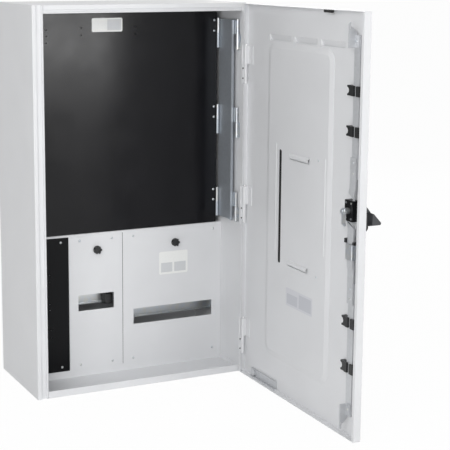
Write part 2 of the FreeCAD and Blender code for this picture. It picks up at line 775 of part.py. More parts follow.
def wall_leaves():
    """Leaves on the housing's right side, each with the wide lower half of a knuckle."""
    pieces = []
    centre = (LINK_PIN_X, LINK_PIN_Y)
    for low, high in half_knuckles(False):
        leaf = box(INNER_RIGHT - LEAF, INNER_RIGHT, LINK_PIN_Y - WALL_LEAF_FRONT,
                   LINK_PIN_Y + WALL_LEAF_BACK, low, high)
        body = fuse([leaf, rod("z", centre, WALL_KNUCKLE_R, low, high)])
        pieces.append(cut(body, [rod("z", centre, PIN_R, low - 1, high + 1)]))
    return Part.makeCompound(pieces)


def hinge_pins(centre, radius, starts, length):
    return Part.makeCompound([
        rod("z", centre, radius, z + 2, z + length - 1) for z in starts
    ])


def door_halves(upper):
    """z limits of the upper or the lower half of each door hinge."""
    half = (HINGE_LENGTH - KNUCKLE_GAP) / 2
    start = half + KNUCKLE_GAP if upper else 0
    return [(z + start, z + start + half) for z in HINGE_Z]


def frame_rivet_places():
    x = WIDTH - HINGE_POST + FRAME_RIVET_R + SEAT_GAP
    return [(x, (a + b) / 2 + k * FRAME_RIVET_PITCH / 2)
            for a, b in door_halves(False) for k in (-1, 1)]


def frame_leaves():
    """Door hinge halves on the right post: a foot, a web and the pin's knuckle."""
    pieces = []
    centre = (HINGE_X, HINGE_Y)
    for low, high in door_halves(False):
        foot = box(WIDTH - HINGE_POST, WIDTH - LEAF_INSET, -FRAME_LEAF, 0, low, high)
        half = FRAME_LEAF / 2
        web = box(HINGE_X - half, HINGE_X + half, HINGE_Y, -FRAME_LEAF / 2, low, high)
        body = fuse([foot, web, rod("z", centre, DOOR_KNUCKLE_R, low, high)])
        bore = rod("z", centre, DOOR_PIN_R, low - 1, high + 1)
        pieces.append(cut(body, [bore]))
    return Part.makeCompound(pieces)


def frame_leaf_rivets():
    """Low rivet heads that hold the frame leaves on the post."""
    return Part.makeCompound([
        rod("y", p, FRAME_RIVET_R, -FRAME_LEAF - FRAME_RIVET_HEAD, -FRAME_LEAF)
        for p in frame_rivet_places()
    ])


def door_leaves():
    """Door hinge halves on the door's skin, in closed position."""
    pieces = []
    centre = (HINGE_X, HINGE_Y)
    t = FRAME_LEAF
    inner = HINGE_X - DOOR_KNUCKLE_R
    for low, high in door_halves(True):
        foot = box(HINGE_X - DOOR_LEAF_WIDTH, HINGE_X, SKIN_IN, SKIN_IN + t, low, high)
        web = box(inner, inner + t, SKIN_IN, HINGE_Y, low, high)
        body = fuse([foot, web, rod("z", centre, DOOR_KNUCKLE_R, low, high)])
        bore = rod("z", centre, DOOR_PIN_R + RUNNING_GAP, low - 1, high + 1)
        pieces.append(cut(body, [bore]))
    return Part.makeCompound(pieces)


def louvre(x):
    """One pressed hood: the solid to add and the space to open, in closed position."""
    t = DOOR_SHEET
    z0, z1 = LOUVRE_Z, LOUVRE_Z + LOUVRE_HEIGHT
    depth = LOUVRE_DEPTH
    hood = [(SKIN_IN, z1), (SKIN_OUT, z1), (SKIN_OUT - depth, z0 + 4),
            (SKIN_OUT - depth, z0), (SKIN_OUT, z0), (SKIN_IN, z0)]
    space = [(SKIN_IN + 1, z1 - t), (SKIN_OUT + t * 0.3, z1 - t),
             (SKIN_OUT - depth + t, z0 + 4), (SKIN_OUT - depth + t, z0 - 1),
             (SKIN_OUT, z0 - 1), (SKIN_OUT, z0 + LOUVRE_MOUTH), (SKIN_IN + 1, z0 + LOUVRE_MOUTH)]
    outer = prism(hood, "yz", x, x + LOUVRE_LENGTH)
    inner = prism(space, "yz", x + t, x + LOUVRE_LENGTH - t)
    return outer, inner


def lock_hole():
    return rod("y", (LOCK_X, LOCK_Z), SPINDLE_R + 1.0, SKIN_OUT - 1, SKIN_IN + 1)


def door_pan():
    """The door: skin, four flanges, side return lips, hinge notches and louvres."""
    t = DOOR_SHEET
    x0, x1, z0, z1 = 0.0, WIDTH, DOOR_BOTTOM, DOOR_TOP
    corners = [(x0, z0), (x1, z0), (x1, z1), (x0, z1)]
    body = prism(corners, "xz", SKIN_OUT, RIM_Y, 2.0)
    inside = box(x0 + t, x1 - t, SKIN_IN, RIM_Y - t, z0 + t, z1 - t)
    mouth = box(x0 + DOOR_LIP, x1 - DOOR_LIP, SKIN_IN, RIM_Y + 1, z0 + t, z1 - t)
    notches = [
        box(x1 - DOOR_LIP - 1, x1 + 1, RIM_Y - NOTCH_DEPTH, RIM_Y + 1,
            z - NOTCH_GAP, z + HINGE_LENGTH + NOTCH_GAP)
        for z in HINGE_Z
    ]
    hoods = [louvre(LOUVRE_FIRST_X + i * LOUVRE_PITCH) for i in range(LOUVRE_COUNT)]
    body = fuse([cut(body, [inside, mouth] + notches)] + [h[0] for h in hoods])
    return cut(body, [h[1] for h in hoods] + [lock_hole()])


def liner_screw_places():
    return [(LINER_SCREW_X, LOOP_Z[0]), (LINER_SCREW_X, LOOP_Z[1] + LOOP_HEIGHT)]


def liner_wire(inset, y):
    """The liner's outline, moved in by inset, at depth y."""
    x0, x1 = LINER_X + inset, LINER_X + LINER_WIDTH - inset
    z0, z1 = LINER_Z + inset, LINER_Z + LINER_HEIGHT - inset
    corners = [(x0, z0), (x1, z0), (x1, z1), (x0, z1)]
    return outline(corners, [LINER_CORNER - inset] * 4, lambda p: V(p.x, y, p.y))


def door_liner():
    """Pressed inner sheet, with the document slot and two lanced loops."""
    t, face = LINER_SHEET, SKIN_IN + LINER_RISE
    body = Part.makeLoft([liner_wire(0, SKIN_IN), liner_wire(0, SKIN_IN + LINER_EDGE),
                          liner_wire(LINER_SLOPE, face)], True, True)
    hollow = Part.makeLoft([liner_wire(t, SKIN_IN - 1), liner_wire(t + LINER_EDGE, SKIN_IN),
                            liner_wire(LINER_SLOPE + t, face - t)], True, True)
    slot_x, slot_z = POCKET_SLOT_X, POCKET_SLOT_Z
    corners = [(slot_x, slot_z), (slot_x + POCKET_SLOT_WIDTH, slot_z),
               (slot_x + POCKET_SLOT_WIDTH, slot_z + POCKET_SLOT_LENGTH),
               (slot_x, slot_z + POCKET_SLOT_LENGTH)]
    slot = prism(corners, "xz", face - t - 1, face + 1, POCKET_SLOT_WIDTH * 0.4)
    screws = [rod("y", p, SCREW_R + THREAD_GAP, SKIN_IN - 1, face + 1)
              for p in liner_screw_places()]
    body = cut(body, [hollow, slot] + screws)
    for z in LOOP_Z:
        mid, top = face + LOOP_RISE * 0.7, face + LOOP_RISE
        arch = [(face - t, z), (mid, z + 3), (top, z + 6), (top, z + LOOP_HEIGHT - 6),
                (mid, z + LOOP_HEIGHT - 3), (face - t, z + LOOP_HEIGHT)]
        under = [(face - t - 1, z + 1), (mid - t, z + 4), (top - t, z + 6.6),
                 (top - t, z + LOOP_HEIGHT - 6.6), (mid - t, z + LOOP_HEIGHT - 4),
                 (face - t - 1, z + LOOP_HEIGHT - 1)]
        ends = (LOOP_X, LOOP_X + LOOP_LENGTH)
        body = fuse([body, prism(arch, "yz", *ends)])
        gap = box(ends[0] - 2, ends[1] + 2, face - t - 1, top + 1, z - 0.5, z + LOOP_GAP)
        middle = z + LOOP_HEIGHT / 2
        relief = [rod("y", (x, middle), LOOP_RELIEF_R, face - t - 1, top + 1)
                  for x in (ends[0] - LOOP_RELIEF_R, ends[1] + LOOP_RELIEF_R)]
        body = cut(body, [prism(under, "yz", ends[0] - 2, ends[1] + 2), gap] + relief)
    return body


def liner_screws():
    face = SKIN_IN + LINER_RISE
    return Part.makeCompound([
        dome_screw(LINER_RISE - 0.2, x, z, face, -1, 3.0, 1.6) for x, z in liner_screw_places()
    ])


def involute_tooth(base, outer, half_at_base, steps=4):
    """Right flank of a tooth from the base circle out, as angle and radius pairs."""
    flank = []
    for i in range(steps + 1):
        r = base + (outer - base) * i / steps
        roll = math.sqrt(max((r / base) ** 2 - 1, 0))
        flank.append((half_at_base - (roll - math.atan(roll)), r))
    return flank


def pinion():
    """The gear on the spindle that drives both racks."""
    m, n = GEAR_MODULE, GEAR_TEETH
    pressure = math.radians(20)
    base = GEAR_R * math.cos(pressure)
    outer, root = GEAR_R + 0.9 * m, GEAR_R - 1.2 * m
    spread = math.tan(pressure) - pressure
    half_at_base = (math.pi * m / 2 - BACKLASH) / (2 * GEAR_R) + spread
    points = []
    for k in range(n):
        middle = 2 * math.pi * (k + 0.5) / n
        flank = involute_tooth(base, outer, half_at_base)
        before = [(middle - a, r) for a, r in [(half_at_base, root)] + flank]
        after = [(middle + a, r) for a, r in reversed([(half_at_base, root)] + flank)]
        points += before + after
    corners = [(LOCK_X + r * math.cos(a), LOCK_Z + r * math.sin(a)) for a, r in points]
    disc = prism(corners, "xz", RACK_Y, RACK_Y + GEAR_THICK)
    return cut(disc, [rod("y", (LOCK_X, LOCK_Z), SPINDLE_R, RACK_Y - 1, RACK_Y + 9)])


def rack_outline(side, z_low, z_high):
    """Rack bar beside the gear: side -1 on the free-edge side, 1 on the other."""
    m = GEAR_MODULE
    pitch = math.pi * m
    slope = math.tan(math.radians(20))
    line = LOCK_X + side * GEAR_R
    tip, root = line - side * 0.9 * m, line + side * 1.2 * m
    back = root + side * (RACK_BAR - 2 * m)
    half = pitch / 4 - BACKLASH / 2
    tip_half, root_half = half - 0.9 * m * slope, half + 1.2 * m * slope
    # the gear shows a gap centre at angle 0 and a tooth centre at angle 180
    shift = 0.0 if side > 0 else pitch / 2
    points = [(back, z_high), (back, z_low), (root, z_low)]
    first = math.ceil((z_low - LOCK_Z - shift + root_half) / pitch)
    last = math.floor((z_high - LOCK_Z - shift - root_half) / pitch)
    for k in range(first, last + 1):
        z = LOCK_Z + shift + k * pitch
        points += [(root, z - root_half), (tip, z - tip_half), (tip, z + tip_half),
                   (root, z + root_half)]
    return points + [(root, z_high)], root, back


def link_bounds():
    """x limits of the rack links' wide part."""
    return ROD_X - ROD_WIDTH / 2 + LINK_STEP, ROD_X + ROD_WIDTH / 2 + LINK_STEP


def rack_link(side, up):
    """Toothed bar, sideways joggle and the tail that is screwed on the rod."""
    z_near = LOCK_Z - up * RACK_REACH
    z_out = LOCK_Z + up * (CASE_HEIGHT / 2 + 4)
    corners, root, back = rack_outline(side, min(z_near, z_out), max(z_near, z_out))
    bar = prism(corners, "xz", RACK_Y, RACK_Y + GEAR_THICK)
    length = LINK_LENGTH_UP if up > 0 else LINK_LENGTH_DOWN
    end = LOCK_Z + up * length
    spread = z_out + up * LINK_SPREAD
    turn = LOCK_Z + up * (WAIST_UP if up > 0 else WAIST_DOWN)
    x0, x1 = sorted((root, back))
    a0, a1 = ROD_X - ROD_WIDTH / 2, ROD_X + ROD_WIDTH / 2
    b0, b1 = link_bounds()
    shape = [(x0, z_out), (b0, spread), (b0, turn), (a0, turn + up * JOG), (a0, end),
             (a1, end), (a1, turn + up * JOG), (b1, turn), (b1, spread), (x1, z_out)]
    tail = prism(shape, "xz", RACK_Y, RACK_Y + GEAR_THICK)
    holes = [rod("y", p, SCREW_R + THREAD_GAP, RACK_Y - 1, RACK_Y + 9)
             for p in lap_screw_places(up)]
    return cut(fuse([bar, tail]), holes)


def lap_screw_places(up):
    length = LINK_LENGTH_UP if up > 0 else LINK_LENGTH_DOWN
    end = LOCK_Z + up * length
    return [(ROD_X, end - up * 12), (ROD_X, end - up * 38)]


def rod_end(up):
    """z of the rod's outer end."""
    return DOOR_TOP - ROD_TOP_GAP if up > 0 else DOOR_BOTTOM + ROD_BOTTOM_GAP


def flat_rod(up):
    """The flat bar from the rack link's tail to the hook at the door's end."""
    length = LINK_LENGTH_UP if up > 0 else LINK_LENGTH_DOWN
    near = LOCK_Z + up * (length - LAP + 10)
    low, high = sorted((near, rod_end(up)))
    bar = box(ROD_X - ROD_WIDTH / 2, ROD_X + ROD_WIDTH / 2, ROD_Y, ROD_Y + ROD_THICK, low, high)
    places = lap_screw_places(up) + [hook_screw(up)]
    holes = [rod("y", p, SCREW_R + THREAD_GAP, ROD_Y - 1, RACK_Y + 1) for p in places]
    return cut(bar, holes)


def hook_screw(up):
    return (ROD_X, rod_end(up) - up * (HOOK_FOOT / 2))


def rod_hook(up):
    """An angle on the rod's end: its upright leg rises past it and ends in a nose."""
    end = rod_end(up)
    tip = DOOR_TOP - HOOK_TOP_GAP + 2.5 if up > 0 else DOOR_BOTTOM + HOOK_BOTTOM_GAP - 2.5
    foot_end = end - up * HOOK_FOOT
    t = HOOK_SHEET
    x0, x1 = HOOK_LEFT, HOOK_RIGHT
    low, high = sorted((foot_end, end))
    foot = box(x0, x1, RACK_Y, RACK_Y + t, low, high)
    shoulder = end + up * 8
    leg = [(RACK_Y, foot_end), (HOOK_REACH, foot_end), (HOOK_REACH, tip - up * 4),
           (HOOK_REACH - 3, tip), (HOOK_NOSE, tip), (HOOK_NOSE, tip - up * 9),
           (RACK_Y, shoulder)]
    leg = prism(leg if up > 0 else leg[::-1], "yz", x1 - t, x1)
    eye = rod("x", ((HOOK_NOSE + HOOK_REACH) / 2 - 2, tip - up * 14), 2.2, x1 - t - 1, x1 + 1)
    hole = rod("y", hook_screw(up), SCREW_R + THREAD_GAP, RACK_Y - 1, RACK_Y + t + 1)
    return cut(fuse([foot, leg]), [eye, hole])


def rod_screws(up):
    heads = [dome_screw(ROD_THICK + GEAR_THICK, x, z, RACK_Y + GEAR_THICK, -1, 3.4, 1.4)
             for x, z in lap_screw_places(up)]
    x, z = hook_screw(up)
    heads.append(dome_screw(ROD_THICK + HOOK_SHEET, x, z, RACK_Y + HOOK_SHEET, -1, 3.4, 2.0))
    return Part.makeCompound(heads)


def case_bounds():
    return CASE_LEFT, CASE_LEFT + CASE_WIDTH, CASE_BOTTOM, CASE_BOTTOM + CASE_HEIGHT


def lock_case():
    """The lock's black housing, open at both ends where the racks run out."""
    x0, x1, z0, z1 = case_bounds()
    w = CASE_WALL
    corners = [(x0, z0), (x1, z0), (x1, z1), (x0, z1)]
    body = prism(corners, "xz", SKIN_IN, CASE_TOP - w, 3.0)
    hollow = box(x0 + w, x1 - w, SKIN_IN + w, CASE_TOP, z0 + w, z1 - w)
    low, high = RACK_Y - SLIDE_GAP, RACK_Y + GEAR_THICK + SLIDE_GAP
    side = GEAR_R - GEAR_MODULE - SLIDE_GAP
    reach = GEAR_R + RACK_BAR + SLIDE_GAP
    upper = box(LOCK_X - reach, LOCK_X - side, low, high, z1 - w - 1, z1 + 1)
    lower = box(LOCK_X + side, LOCK_X + reach, low, high, z0 - 1, z0 + w + 1)
    spindle = rod("y", (LOCK_X, LOCK_Z), SPINDLE_R + RUNNING_GAP, SKIN_IN - 1, SKIN_IN + w + 1)
    return cut(body, [hollow, upper, lower, spindle])


def lock_cover():
    x0, x1, z0, z1 = case_bounds()
    corners = [(x0, z0), (x1, z0), (x1, z1), (x0, z1)]
    lid = prism(corners, "xz", CASE_TOP - CASE_WALL, CASE_TOP, 3.0)
    spindle = rod("y", (LOCK_X, LOCK_Z), SPINDLE_R + RUNNING_GAP, CASE_TOP - 5, CASE_TOP + 1)
    return cut(lid, [spindle])


def cover_rivets():
    x0, x1, z0, z1 = case_bounds()
    i = 7.0
    places = [(x0 + i, z0 + i), (x1 - i, z0 + i), (x1 - i, z1 - i), (x0 + i, z1 - i)]
    return Part.makeCompound([rod("y", p, 2.6, CASE_TOP, CASE_TOP + 1.2) for p in places])


def spindle():
    """The lock's shaft, from the handle through the door and case to the cam."""
    end = CAM_Y + CAM_THICK + NUT_THICK + 1.5
    return rod("y", (LOCK_X, LOCK_Z), SPINDLE_R, handle_back(), end)


def locking_cam():
    """The tongue that turns behind the latch post."""
    half = CAM_WIDTH / 2
    x, z = LOCK_X, LOCK_Z
    corners = [(x - half, z + half), (x - half, z - CAM_LENGTH),
               (x + half, z - CAM_LENGTH + 5), (x + half, z + half)]
    plate = prism(corners, "xz", CAM_Y, CAM_Y + CAM_THICK, [half * 0.9, 3, 3, half * 0.9])
    collar = rod("y", (x, z), SPINDLE_R + 2.5, CASE_TOP + TURN_GAP, CAM_Y)
    hole = rod("y", (x, z), SPINDLE_R, CASE_TOP, CAM_Y + 9)
    return cut(fuse([plate, collar]), [hole])


def cam_nut():
    corners = [(LOCK_X + NUT_R * math.cos(k * math.pi / 3),
                LOCK_Z + NUT_R * math.sin(k * math.pi / 3)) for k in range(6)]
    seat = CAM_Y + CAM_THICK
    nut = prism(corners, "xz", seat, seat + NUT_THICK)
    return cut(nut, [rod("y", (LOCK_X, LOCK_Z), SPINDLE_R, seat - 1, seat + 9)])


def handle_rose():
    """The round plate under the handle, on the door's outer face."""
    low = SKIN_OUT - ROSE_HEIGHT
    plate = Part.makeCone(ROSE_R, ROSE_R - 2.5, ROSE_HEIGHT, V(LOCK_X, SKIN_OUT, LOCK_Z),
                          V(0, -1, 0))
    bore = rod("y", (LOCK_X, LOCK_Z), SPINDLE_R + RUNNING_GAP, low - 1, SKIN_OUT + 1)
    return cut(plate, [bore])


def handle_back():
    """y of the handle hub's inner end, just clear of the rose."""
    return SKIN_OUT - ROSE_HEIGHT - TURN_GAP


def grip_section(x, scale):
    """A wedge-shaped section of the grip at x, thinner towards the tip."""
    top = SKIN_OUT - HANDLE_RISE
    back = top + HANDLE_GRIP * scale
    half = HANDLE_HEIGHT / 2 * scale
    corners = [(back, -half), (back, half), (top, -half * 0.7), (top + 2, -half)]
    radii = [4 * scale, 3 * scale, 3 * scale, 2 * scale]
    return outline(corners, radii, lambda p: V(x, p.x, LOCK_Z - HANDLE_DROP + p.y))


def above_slope():
    """The space above the handle's sloping upper face, where the hub is trimmed."""
    half = HANDLE_HEIGHT / 2
    top = SKIN_OUT - HANDLE_RISE
    mid = LOCK_Z - HANDLE_DROP
    crest = (SKIN_OUT - HANDLE_CREST, LOCK_Z + ROSE_R)
    points = [crest, (top + HANDLE_GRIP, mid + half), (top, mid - half * 0.7),
              (top - 9, mid - half * 0.7), (top - 9, crest[1])]
    return prism(points, "yz", LOCK_X - ROSE_R, LOCK_X + ROSE_R)


def handle():
    """A die-cast lever handle: round hub and a wedge grip that points to the hinges."""
    hub = Part.makeCone(ROSE_R - 4, ROSE_R - 7, HANDLE_RISE - ROSE_HEIGHT - HANDLE_GRIP / 2,
                        V(LOCK_X, handle_back(), LOCK_Z), V(0, -1, 0))
    start = LOCK_X - ROSE_R
    stations = [(0.0, 0.82), (0.12, 1.0), (0.5, 0.86), (0.9, 0.7), (1.0, 0.55)]
    sections = [grip_section(start + s * (HANDLE_LENGTH + ROSE_R), k)
                for s, k in stations]
    grip = Part.makeLoft(sections, True, True)
    socket = rod("y", (LOCK_X, LOCK_Z), SPINDLE_R, handle_back() - 12, handle_back() + 1)
    return cut(fuse([grip, hub.cut(above_slope())]), [socket])


def padlock_eye():
    """A plate eye that stands on the door below the handle, for a padlock."""
    z = LOCK_Z - EYE_DROP
    tip = SKIN_OUT - EYE_REACH
    x = LOCK_X - EYE_SIDE
    plate = box(x, x + EYE_SHEET, tip + EYE_R, SKIN_OUT, z - EYE_R, z + EYE_R)
    head = rod("x", (tip + EYE_R, z), EYE_R, x, x + EYE_SHEET)
    hole = rod("x", (tip + EYE_R, z), EYE_HOLE_R, x - 1, x + EYE_SHEET + 1)
    foot = box(x - 7, x + EYE_SHEET + 7, SKIN_OUT - 1.5, SKIN_OUT, z - EYE_R, z + EYE_R)
    return cut(fuse([plate, head, foot]), [hole])


def rod_guide(z):
    """A black guide block: the rod's channel and an open hook-shaped wing beside it."""
    w, gap = GUIDE_WALL, SLIDE_GAP
    x0, x1 = ROD_X - ROD_WIDTH / 2, ROD_X + ROD_WIDTH / 2
    block = box(x0 - 2 * w - gap, x1 + w + gap, SKIN_IN, GUIDE_TOP, z, z + GUIDE_HEIGHT)
    channel = box(x0 - gap, x1 + gap, ROD_Y - gap, ROD_Y + ROD_THICK + gap, z - 1,
                  z + GUIDE_HEIGHT + 1)
    wing = box(x1 + w, x1 + w + GUIDE_WING, SKIN_IN, GUIDE_TOP - 2, z, z + GUIDE_HEIGHT)
    bite = rod("y", (x1 + w + GUIDE_WING, z + GUIDE_HEIGHT / 2), GUIDE_HEIGHT * 0.32,
               SKIN_IN - 1, 0)
    mouth = box(ROD_X + GUIDE_OPEN[0], ROD_X + GUIDE_OPEN[1], ROD_Y, GUIDE_TOP + 1, z - 1,
                z + GUIDE_HEIGHT + 1)
    return cut(fuse([block, wing]), [channel, bite, mouth])


def rod_guides():
    return Part.makeCompound([rod_guide(z) for z in GUIDE_Z])


def bridge_bounds():
    x0, x1 = link_bounds()
    side = BRIDGE_CLEAR + BRIDGE_FOOT
    return x0 - side, x1 + side


def rod_bridge():
    """A bright hat-shaped strap over the lower rack link."""
    x0, x1 = bridge_bounds()
    t, top = BRIDGE_SHEET, BRIDGE_TOP
    foot = BRIDGE_FOOT
    path = [(x0, SKIN_IN), (x0 + foot, SKIN_IN), (x0 + foot, top), (x1 - foot, top),
            (x1 - foot, SKIN_IN), (x1, SKIN_IN)]
    return folded(path, t, "xy", BRIDGE_Z, BRIDGE_Z + BRIDGE_HEIGHT)


def bridge_buffers():
    """Two black stop blocks on the skin, just above the bridge's feet."""
    x0, x1 = bridge_bounds()
    z = BRIDGE_Z + BRIDGE_HEIGHT + 1
    left = box(x0, x0 + BRIDGE_FOOT, SKIN_IN, BRIDGE_TOP, z, z + BUFFER_HEIGHT * 0.6)
    right = box(x1 - BRIDGE_FOOT, x1, SKIN_IN, BRIDGE_TOP, z, z + BUFFER_HEIGHT)
    return Part.makeCompound([left, right])


def stay_bounds():
    z0 = DOOR_BOTTOM + DOOR_SHEET
    return STAY_X, STAY_X + STAY_LENGTH, z0, z0 + STAY_HEIGHT


def stay_guide():
    """A channel on the door's foot, open to the front, in which a stay would run."""
    x0, x1, z0, z1 = stay_bounds()
    y1 = SKIN_IN + STAY_DEPTH
    path = [(y1, z0), (SKIN_IN, z0), (SKIN_IN, z1), (y1, z1)]
    return folded(path, -STAY_SHEET, "yz", x0, x1)


def stay_stop():
    x0, x1, z0, z1 = stay_bounds()
    side = STAY_SHEET + BEND
    corners = [(x1 - STAY_STOP, z0 + side), (x1, z0 + side), (x1, z1 - side),
               (x1 - STAY_STOP, z1 - side)]
    return prism(corners, "xz", SKIN_IN + STAY_SHEET, SKIN_IN + STAY_DEPTH - 1, [8, 0, 0, 8])


def door_bumper():
    z1 = DOOR_TOP - DOOR_SHEET
    y1 = RIM_Y - DOOR_SHEET
    return prism([(y1 - BUMPER_DEPTH, z1 - BUMPER_HEIGHT), (y1, z1 - BUMPER_HEIGHT), (y1, z1),
                  (y1 - BUMPER_DEPTH, z1)], "yz", BUMPER_X, BUMPER_X + BUMPER_LENGTH,
                 [2, 2, 0, 0])


def housing_pieces():
    wrap = housing_wrap()
    side, left, right = cover_bounds()
    slot_left, slot_right = slot_bounds()
    rail_left, rail_right = rail_spans()
    return {
        "housing_wrap": wrap,
        "roof_panel": end_pan(HEIGHT, TOP_FLANGE, -1, wrap, top_groove()),
        "floor_panel": floor_panel(wrap),
        "gland_plate": gland_plate(),
        "gland_screws": gland_screws(),
        "bay_frame": bay_frame(),
        "side_cover": side_cover(),
        "escutcheon_left": escutcheon(left, slot_left, KNOB_LEFT_X),
        "escutcheon_right": escutcheon(right, slot_right, KNOB_RIGHT_X),
        "front_screws": front_screws(),
        "din_rail_left": din_rail(rail_left, SLOT_LEFT_Z),
        "din_rail_right": din_rail(rail_right, SLOT_RIGHT_Z),
        "rail_brackets": rail_brackets(),
        "rail_end_stop": rail_end_stop(),
        "panel_stop_angle": panel_stop_angle(),
        "wall_leaves": wall_leaves(),
        "link_hinge_pins": hinge_pins((LINK_PIN_X, LINK_PIN_Y), PIN_R, KNUCKLE_Z,
                                      KNUCKLE_LENGTH),
        "frame_leaves": frame_leaves(),
        "door_hinge_pins": hinge_pins((HINGE_X, HINGE_Y), DOOR_PIN_R, HINGE_Z, HINGE_LENGTH),
        "frame_leaf_rivets": frame_leaf_rivets(),
    }


def moving_pieces():
    """Knobs, link plate and meter panel."""
    return {
        "knob_left": knob(KNOB_LEFT_X),
        "latch_arm_left": latch_arm(KNOB_LEFT_X),
        "knob_right": knob(KNOB_RIGHT_X),
        "latch_arm_right": latch_arm(KNOB_RIGHT_X),
        "link_plate": link_plate(),
        "link_front_leaves": link_front_leaves(),
        "link_rear_leaves": link_rear_leaves(),
        "panel_hinge_pins": hinge_pins((PANEL_PIN_X, PANEL_PIN_Y), PIN_R, KNUCKLE_Z,
                                       KNUCKLE_LENGTH),
        "meter_panel": meter_panel(),
        "panel_leaves": panel_leaves(),
        "panel_leaf_screws": panel_leaf_screws(),
    }


def door_pieces():
    """Everything on the door, built in its closed position."""
    return {
        "door_pan": door_pan(),
        "door_liner": door_liner(),
        "liner_screws": liner_screws(),
        "door_leaves": door_leaves(),
        "lock_case": lock_case(),
        "lock_cover": lock_cover(),
        "cover_rivets": cover_rivets(),
        "rod_guides": rod_guides(),
        "rod_bridge": rod_bridge(),
        "bridge_buffers": bridge_buffers(),
        "stay_guide": stay_guide(),
        "stay_stop": stay_stop(),
        "door_bumper": door_bumper(),
        "handle_rose": handle_rose(),
        "padlock_eye": padlock_eye(),
        "handle": handle(),
        "spindle": spindle(),
        "pinion": pinion(),
        "locking_cam": locking_cam(),
        "cam_nut": cam_nut(),
        "upper_rack": rack_link(-1, 1),
        "upper_rod": flat_rod(1),
        "upper_hook": rod_hook(1),
        "upper_rod_screws": rod_screws(1),
        "lower_rack": rack_link(1, -1),
        "lower_rod": flat_rod(-1),
        "lower_hook": rod_hook(-1),
        "lower_rod_screws": rod_screws(-1),
    }


def build():
    """Every node's shape in the row's frame, with the door swung open."""
    pieces = housing_pieces()
    pieces.update(moving_pieces())
    for name, shape in door_pieces().items():
        shape.rotate(V(HINGE_X, HINGE_Y, 0), V(0, 0, 1), DOOR_OPEN)
        pieces[name] = shape
    for shape in pieces.values():
        shape.translate(ORIGIN)
    return pieces


def main():
    os.makedirs("parts", exist_ok=True)
    for name, shape in build().items():
        shape.exportStep(f"parts/{name}.step")
        solids = shape.Solids
        print(name, len(solids), "solids", "valid" if shape.isValid() else "INVALID",
              round(sum(s.Volume for s in solids) / 1000, 1), "cm3")


main()
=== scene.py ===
import json
import math

import bmesh
import bpy
from bpy.props import FloatProperty, FloatVectorProperty, IntProperty, PointerProperty
from mathutils import Matrix, Vector


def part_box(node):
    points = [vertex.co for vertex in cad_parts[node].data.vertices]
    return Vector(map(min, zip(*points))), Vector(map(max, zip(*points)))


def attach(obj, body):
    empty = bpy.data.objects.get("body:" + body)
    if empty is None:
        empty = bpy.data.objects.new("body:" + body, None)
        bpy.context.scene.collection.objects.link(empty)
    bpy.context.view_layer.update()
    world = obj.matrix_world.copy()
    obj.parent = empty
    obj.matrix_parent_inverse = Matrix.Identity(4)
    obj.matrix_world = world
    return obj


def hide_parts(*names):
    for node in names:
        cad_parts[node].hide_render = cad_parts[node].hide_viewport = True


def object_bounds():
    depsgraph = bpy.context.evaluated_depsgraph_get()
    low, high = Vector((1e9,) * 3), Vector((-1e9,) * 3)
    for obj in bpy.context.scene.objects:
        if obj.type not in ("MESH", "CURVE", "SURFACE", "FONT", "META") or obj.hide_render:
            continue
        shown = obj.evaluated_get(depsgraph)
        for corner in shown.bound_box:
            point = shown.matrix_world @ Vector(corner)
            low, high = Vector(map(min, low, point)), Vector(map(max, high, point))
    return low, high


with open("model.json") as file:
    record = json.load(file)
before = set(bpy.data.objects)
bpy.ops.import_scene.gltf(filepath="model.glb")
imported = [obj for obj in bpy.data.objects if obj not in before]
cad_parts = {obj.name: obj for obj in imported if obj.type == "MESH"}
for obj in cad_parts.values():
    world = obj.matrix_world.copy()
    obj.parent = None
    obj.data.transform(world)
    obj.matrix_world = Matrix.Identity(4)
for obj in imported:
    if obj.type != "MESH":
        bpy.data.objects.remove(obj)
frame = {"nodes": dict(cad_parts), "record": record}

bl_info = {
    "name": "Meter cabinet",
    "version": (1, 0, 0),
    "blender": (4, 5, 0),
    "location": "3D View > Sidebar > Meter cabinet",
    "description": "Finishes, fasteners, label fields and stage for a sheet-steel meter cabinet",
    "category": "Object",
}

CAD_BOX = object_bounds()
MM = 0.001
RIGHT, LEFT = Vector((1, 0, 0)), Vector((-1, 0, 0))
FRONT, BACK = Vector((0, -1, 0)), Vector((0, 1, 0))
UP = Vector((0, 0, 1))


# Sizes and places ---------------------------------------------------------------------------

# A fastener's shape, in shares of its head's radius and height, and its facets.
CROSS_LENGTH = 1.05
CUTTER_HEIGHT = 1.0
DOME_RINGS = 12
DIMPLE_SIDES = 16
FASTENER_CREASE = math.radians(35.0)

# Plain fields, in millimetres: lower corner in x and z, width and height, and the areas of the
# second tone as left, right, low and high from that corner.
PANEL_LABEL = ((220, 980), (91, 38), [(46, 87, 4, 34)])
COVER_LABEL = ((423, 275), (91, 67), [(6, 42, 6, 34), (48, 85, 6, 34)])
DOOR_LABEL = ((378, 260), (140, 49), [(6, 62, 6, 34), (70, 134, 6, 43)])
# A black sheet behind the document slot: painted shade that darkens the pocket.
POCKET_PAINTED_SHADE = ((432, 362), (22, 320), [])
FIELD_CORNER = 2.0

# y of the shut door's faces that carry something, in millimetres from the housing's front edge.
LINER_FACE = -16.5
POCKET_BACK = -20.5
BEAD_FOOT = -16.6

# A black strip of painted shade in the covers' seam: its share of the seam's width, and in
# millimetres how far it lies behind the covers' face and how thick it is.
SEAM_SHADE_SHARE, SEAM_SHADE_SUNK, SEAM_SHADE_THICK = 0.9, 0.35, 0.1

# Beads beside the document slot, in millimetres: x, lower and upper end, and their section.
# Then the steps along a round end, the facets across, and the share of the width at its tip.
BEADS = {"pocket_edge_right": (188.0, 434.0, 681.0), "pocket_edge_left": (445.0, 400.0, 690.0)}
BEAD_WIDE, BEAD_PROUD = 6, 1.1
BEAD_STEPS, BEAD_ARCS, BEAD_TIP = 6, 8, 0.02
BEAD_CREASE = math.radians(50.0)

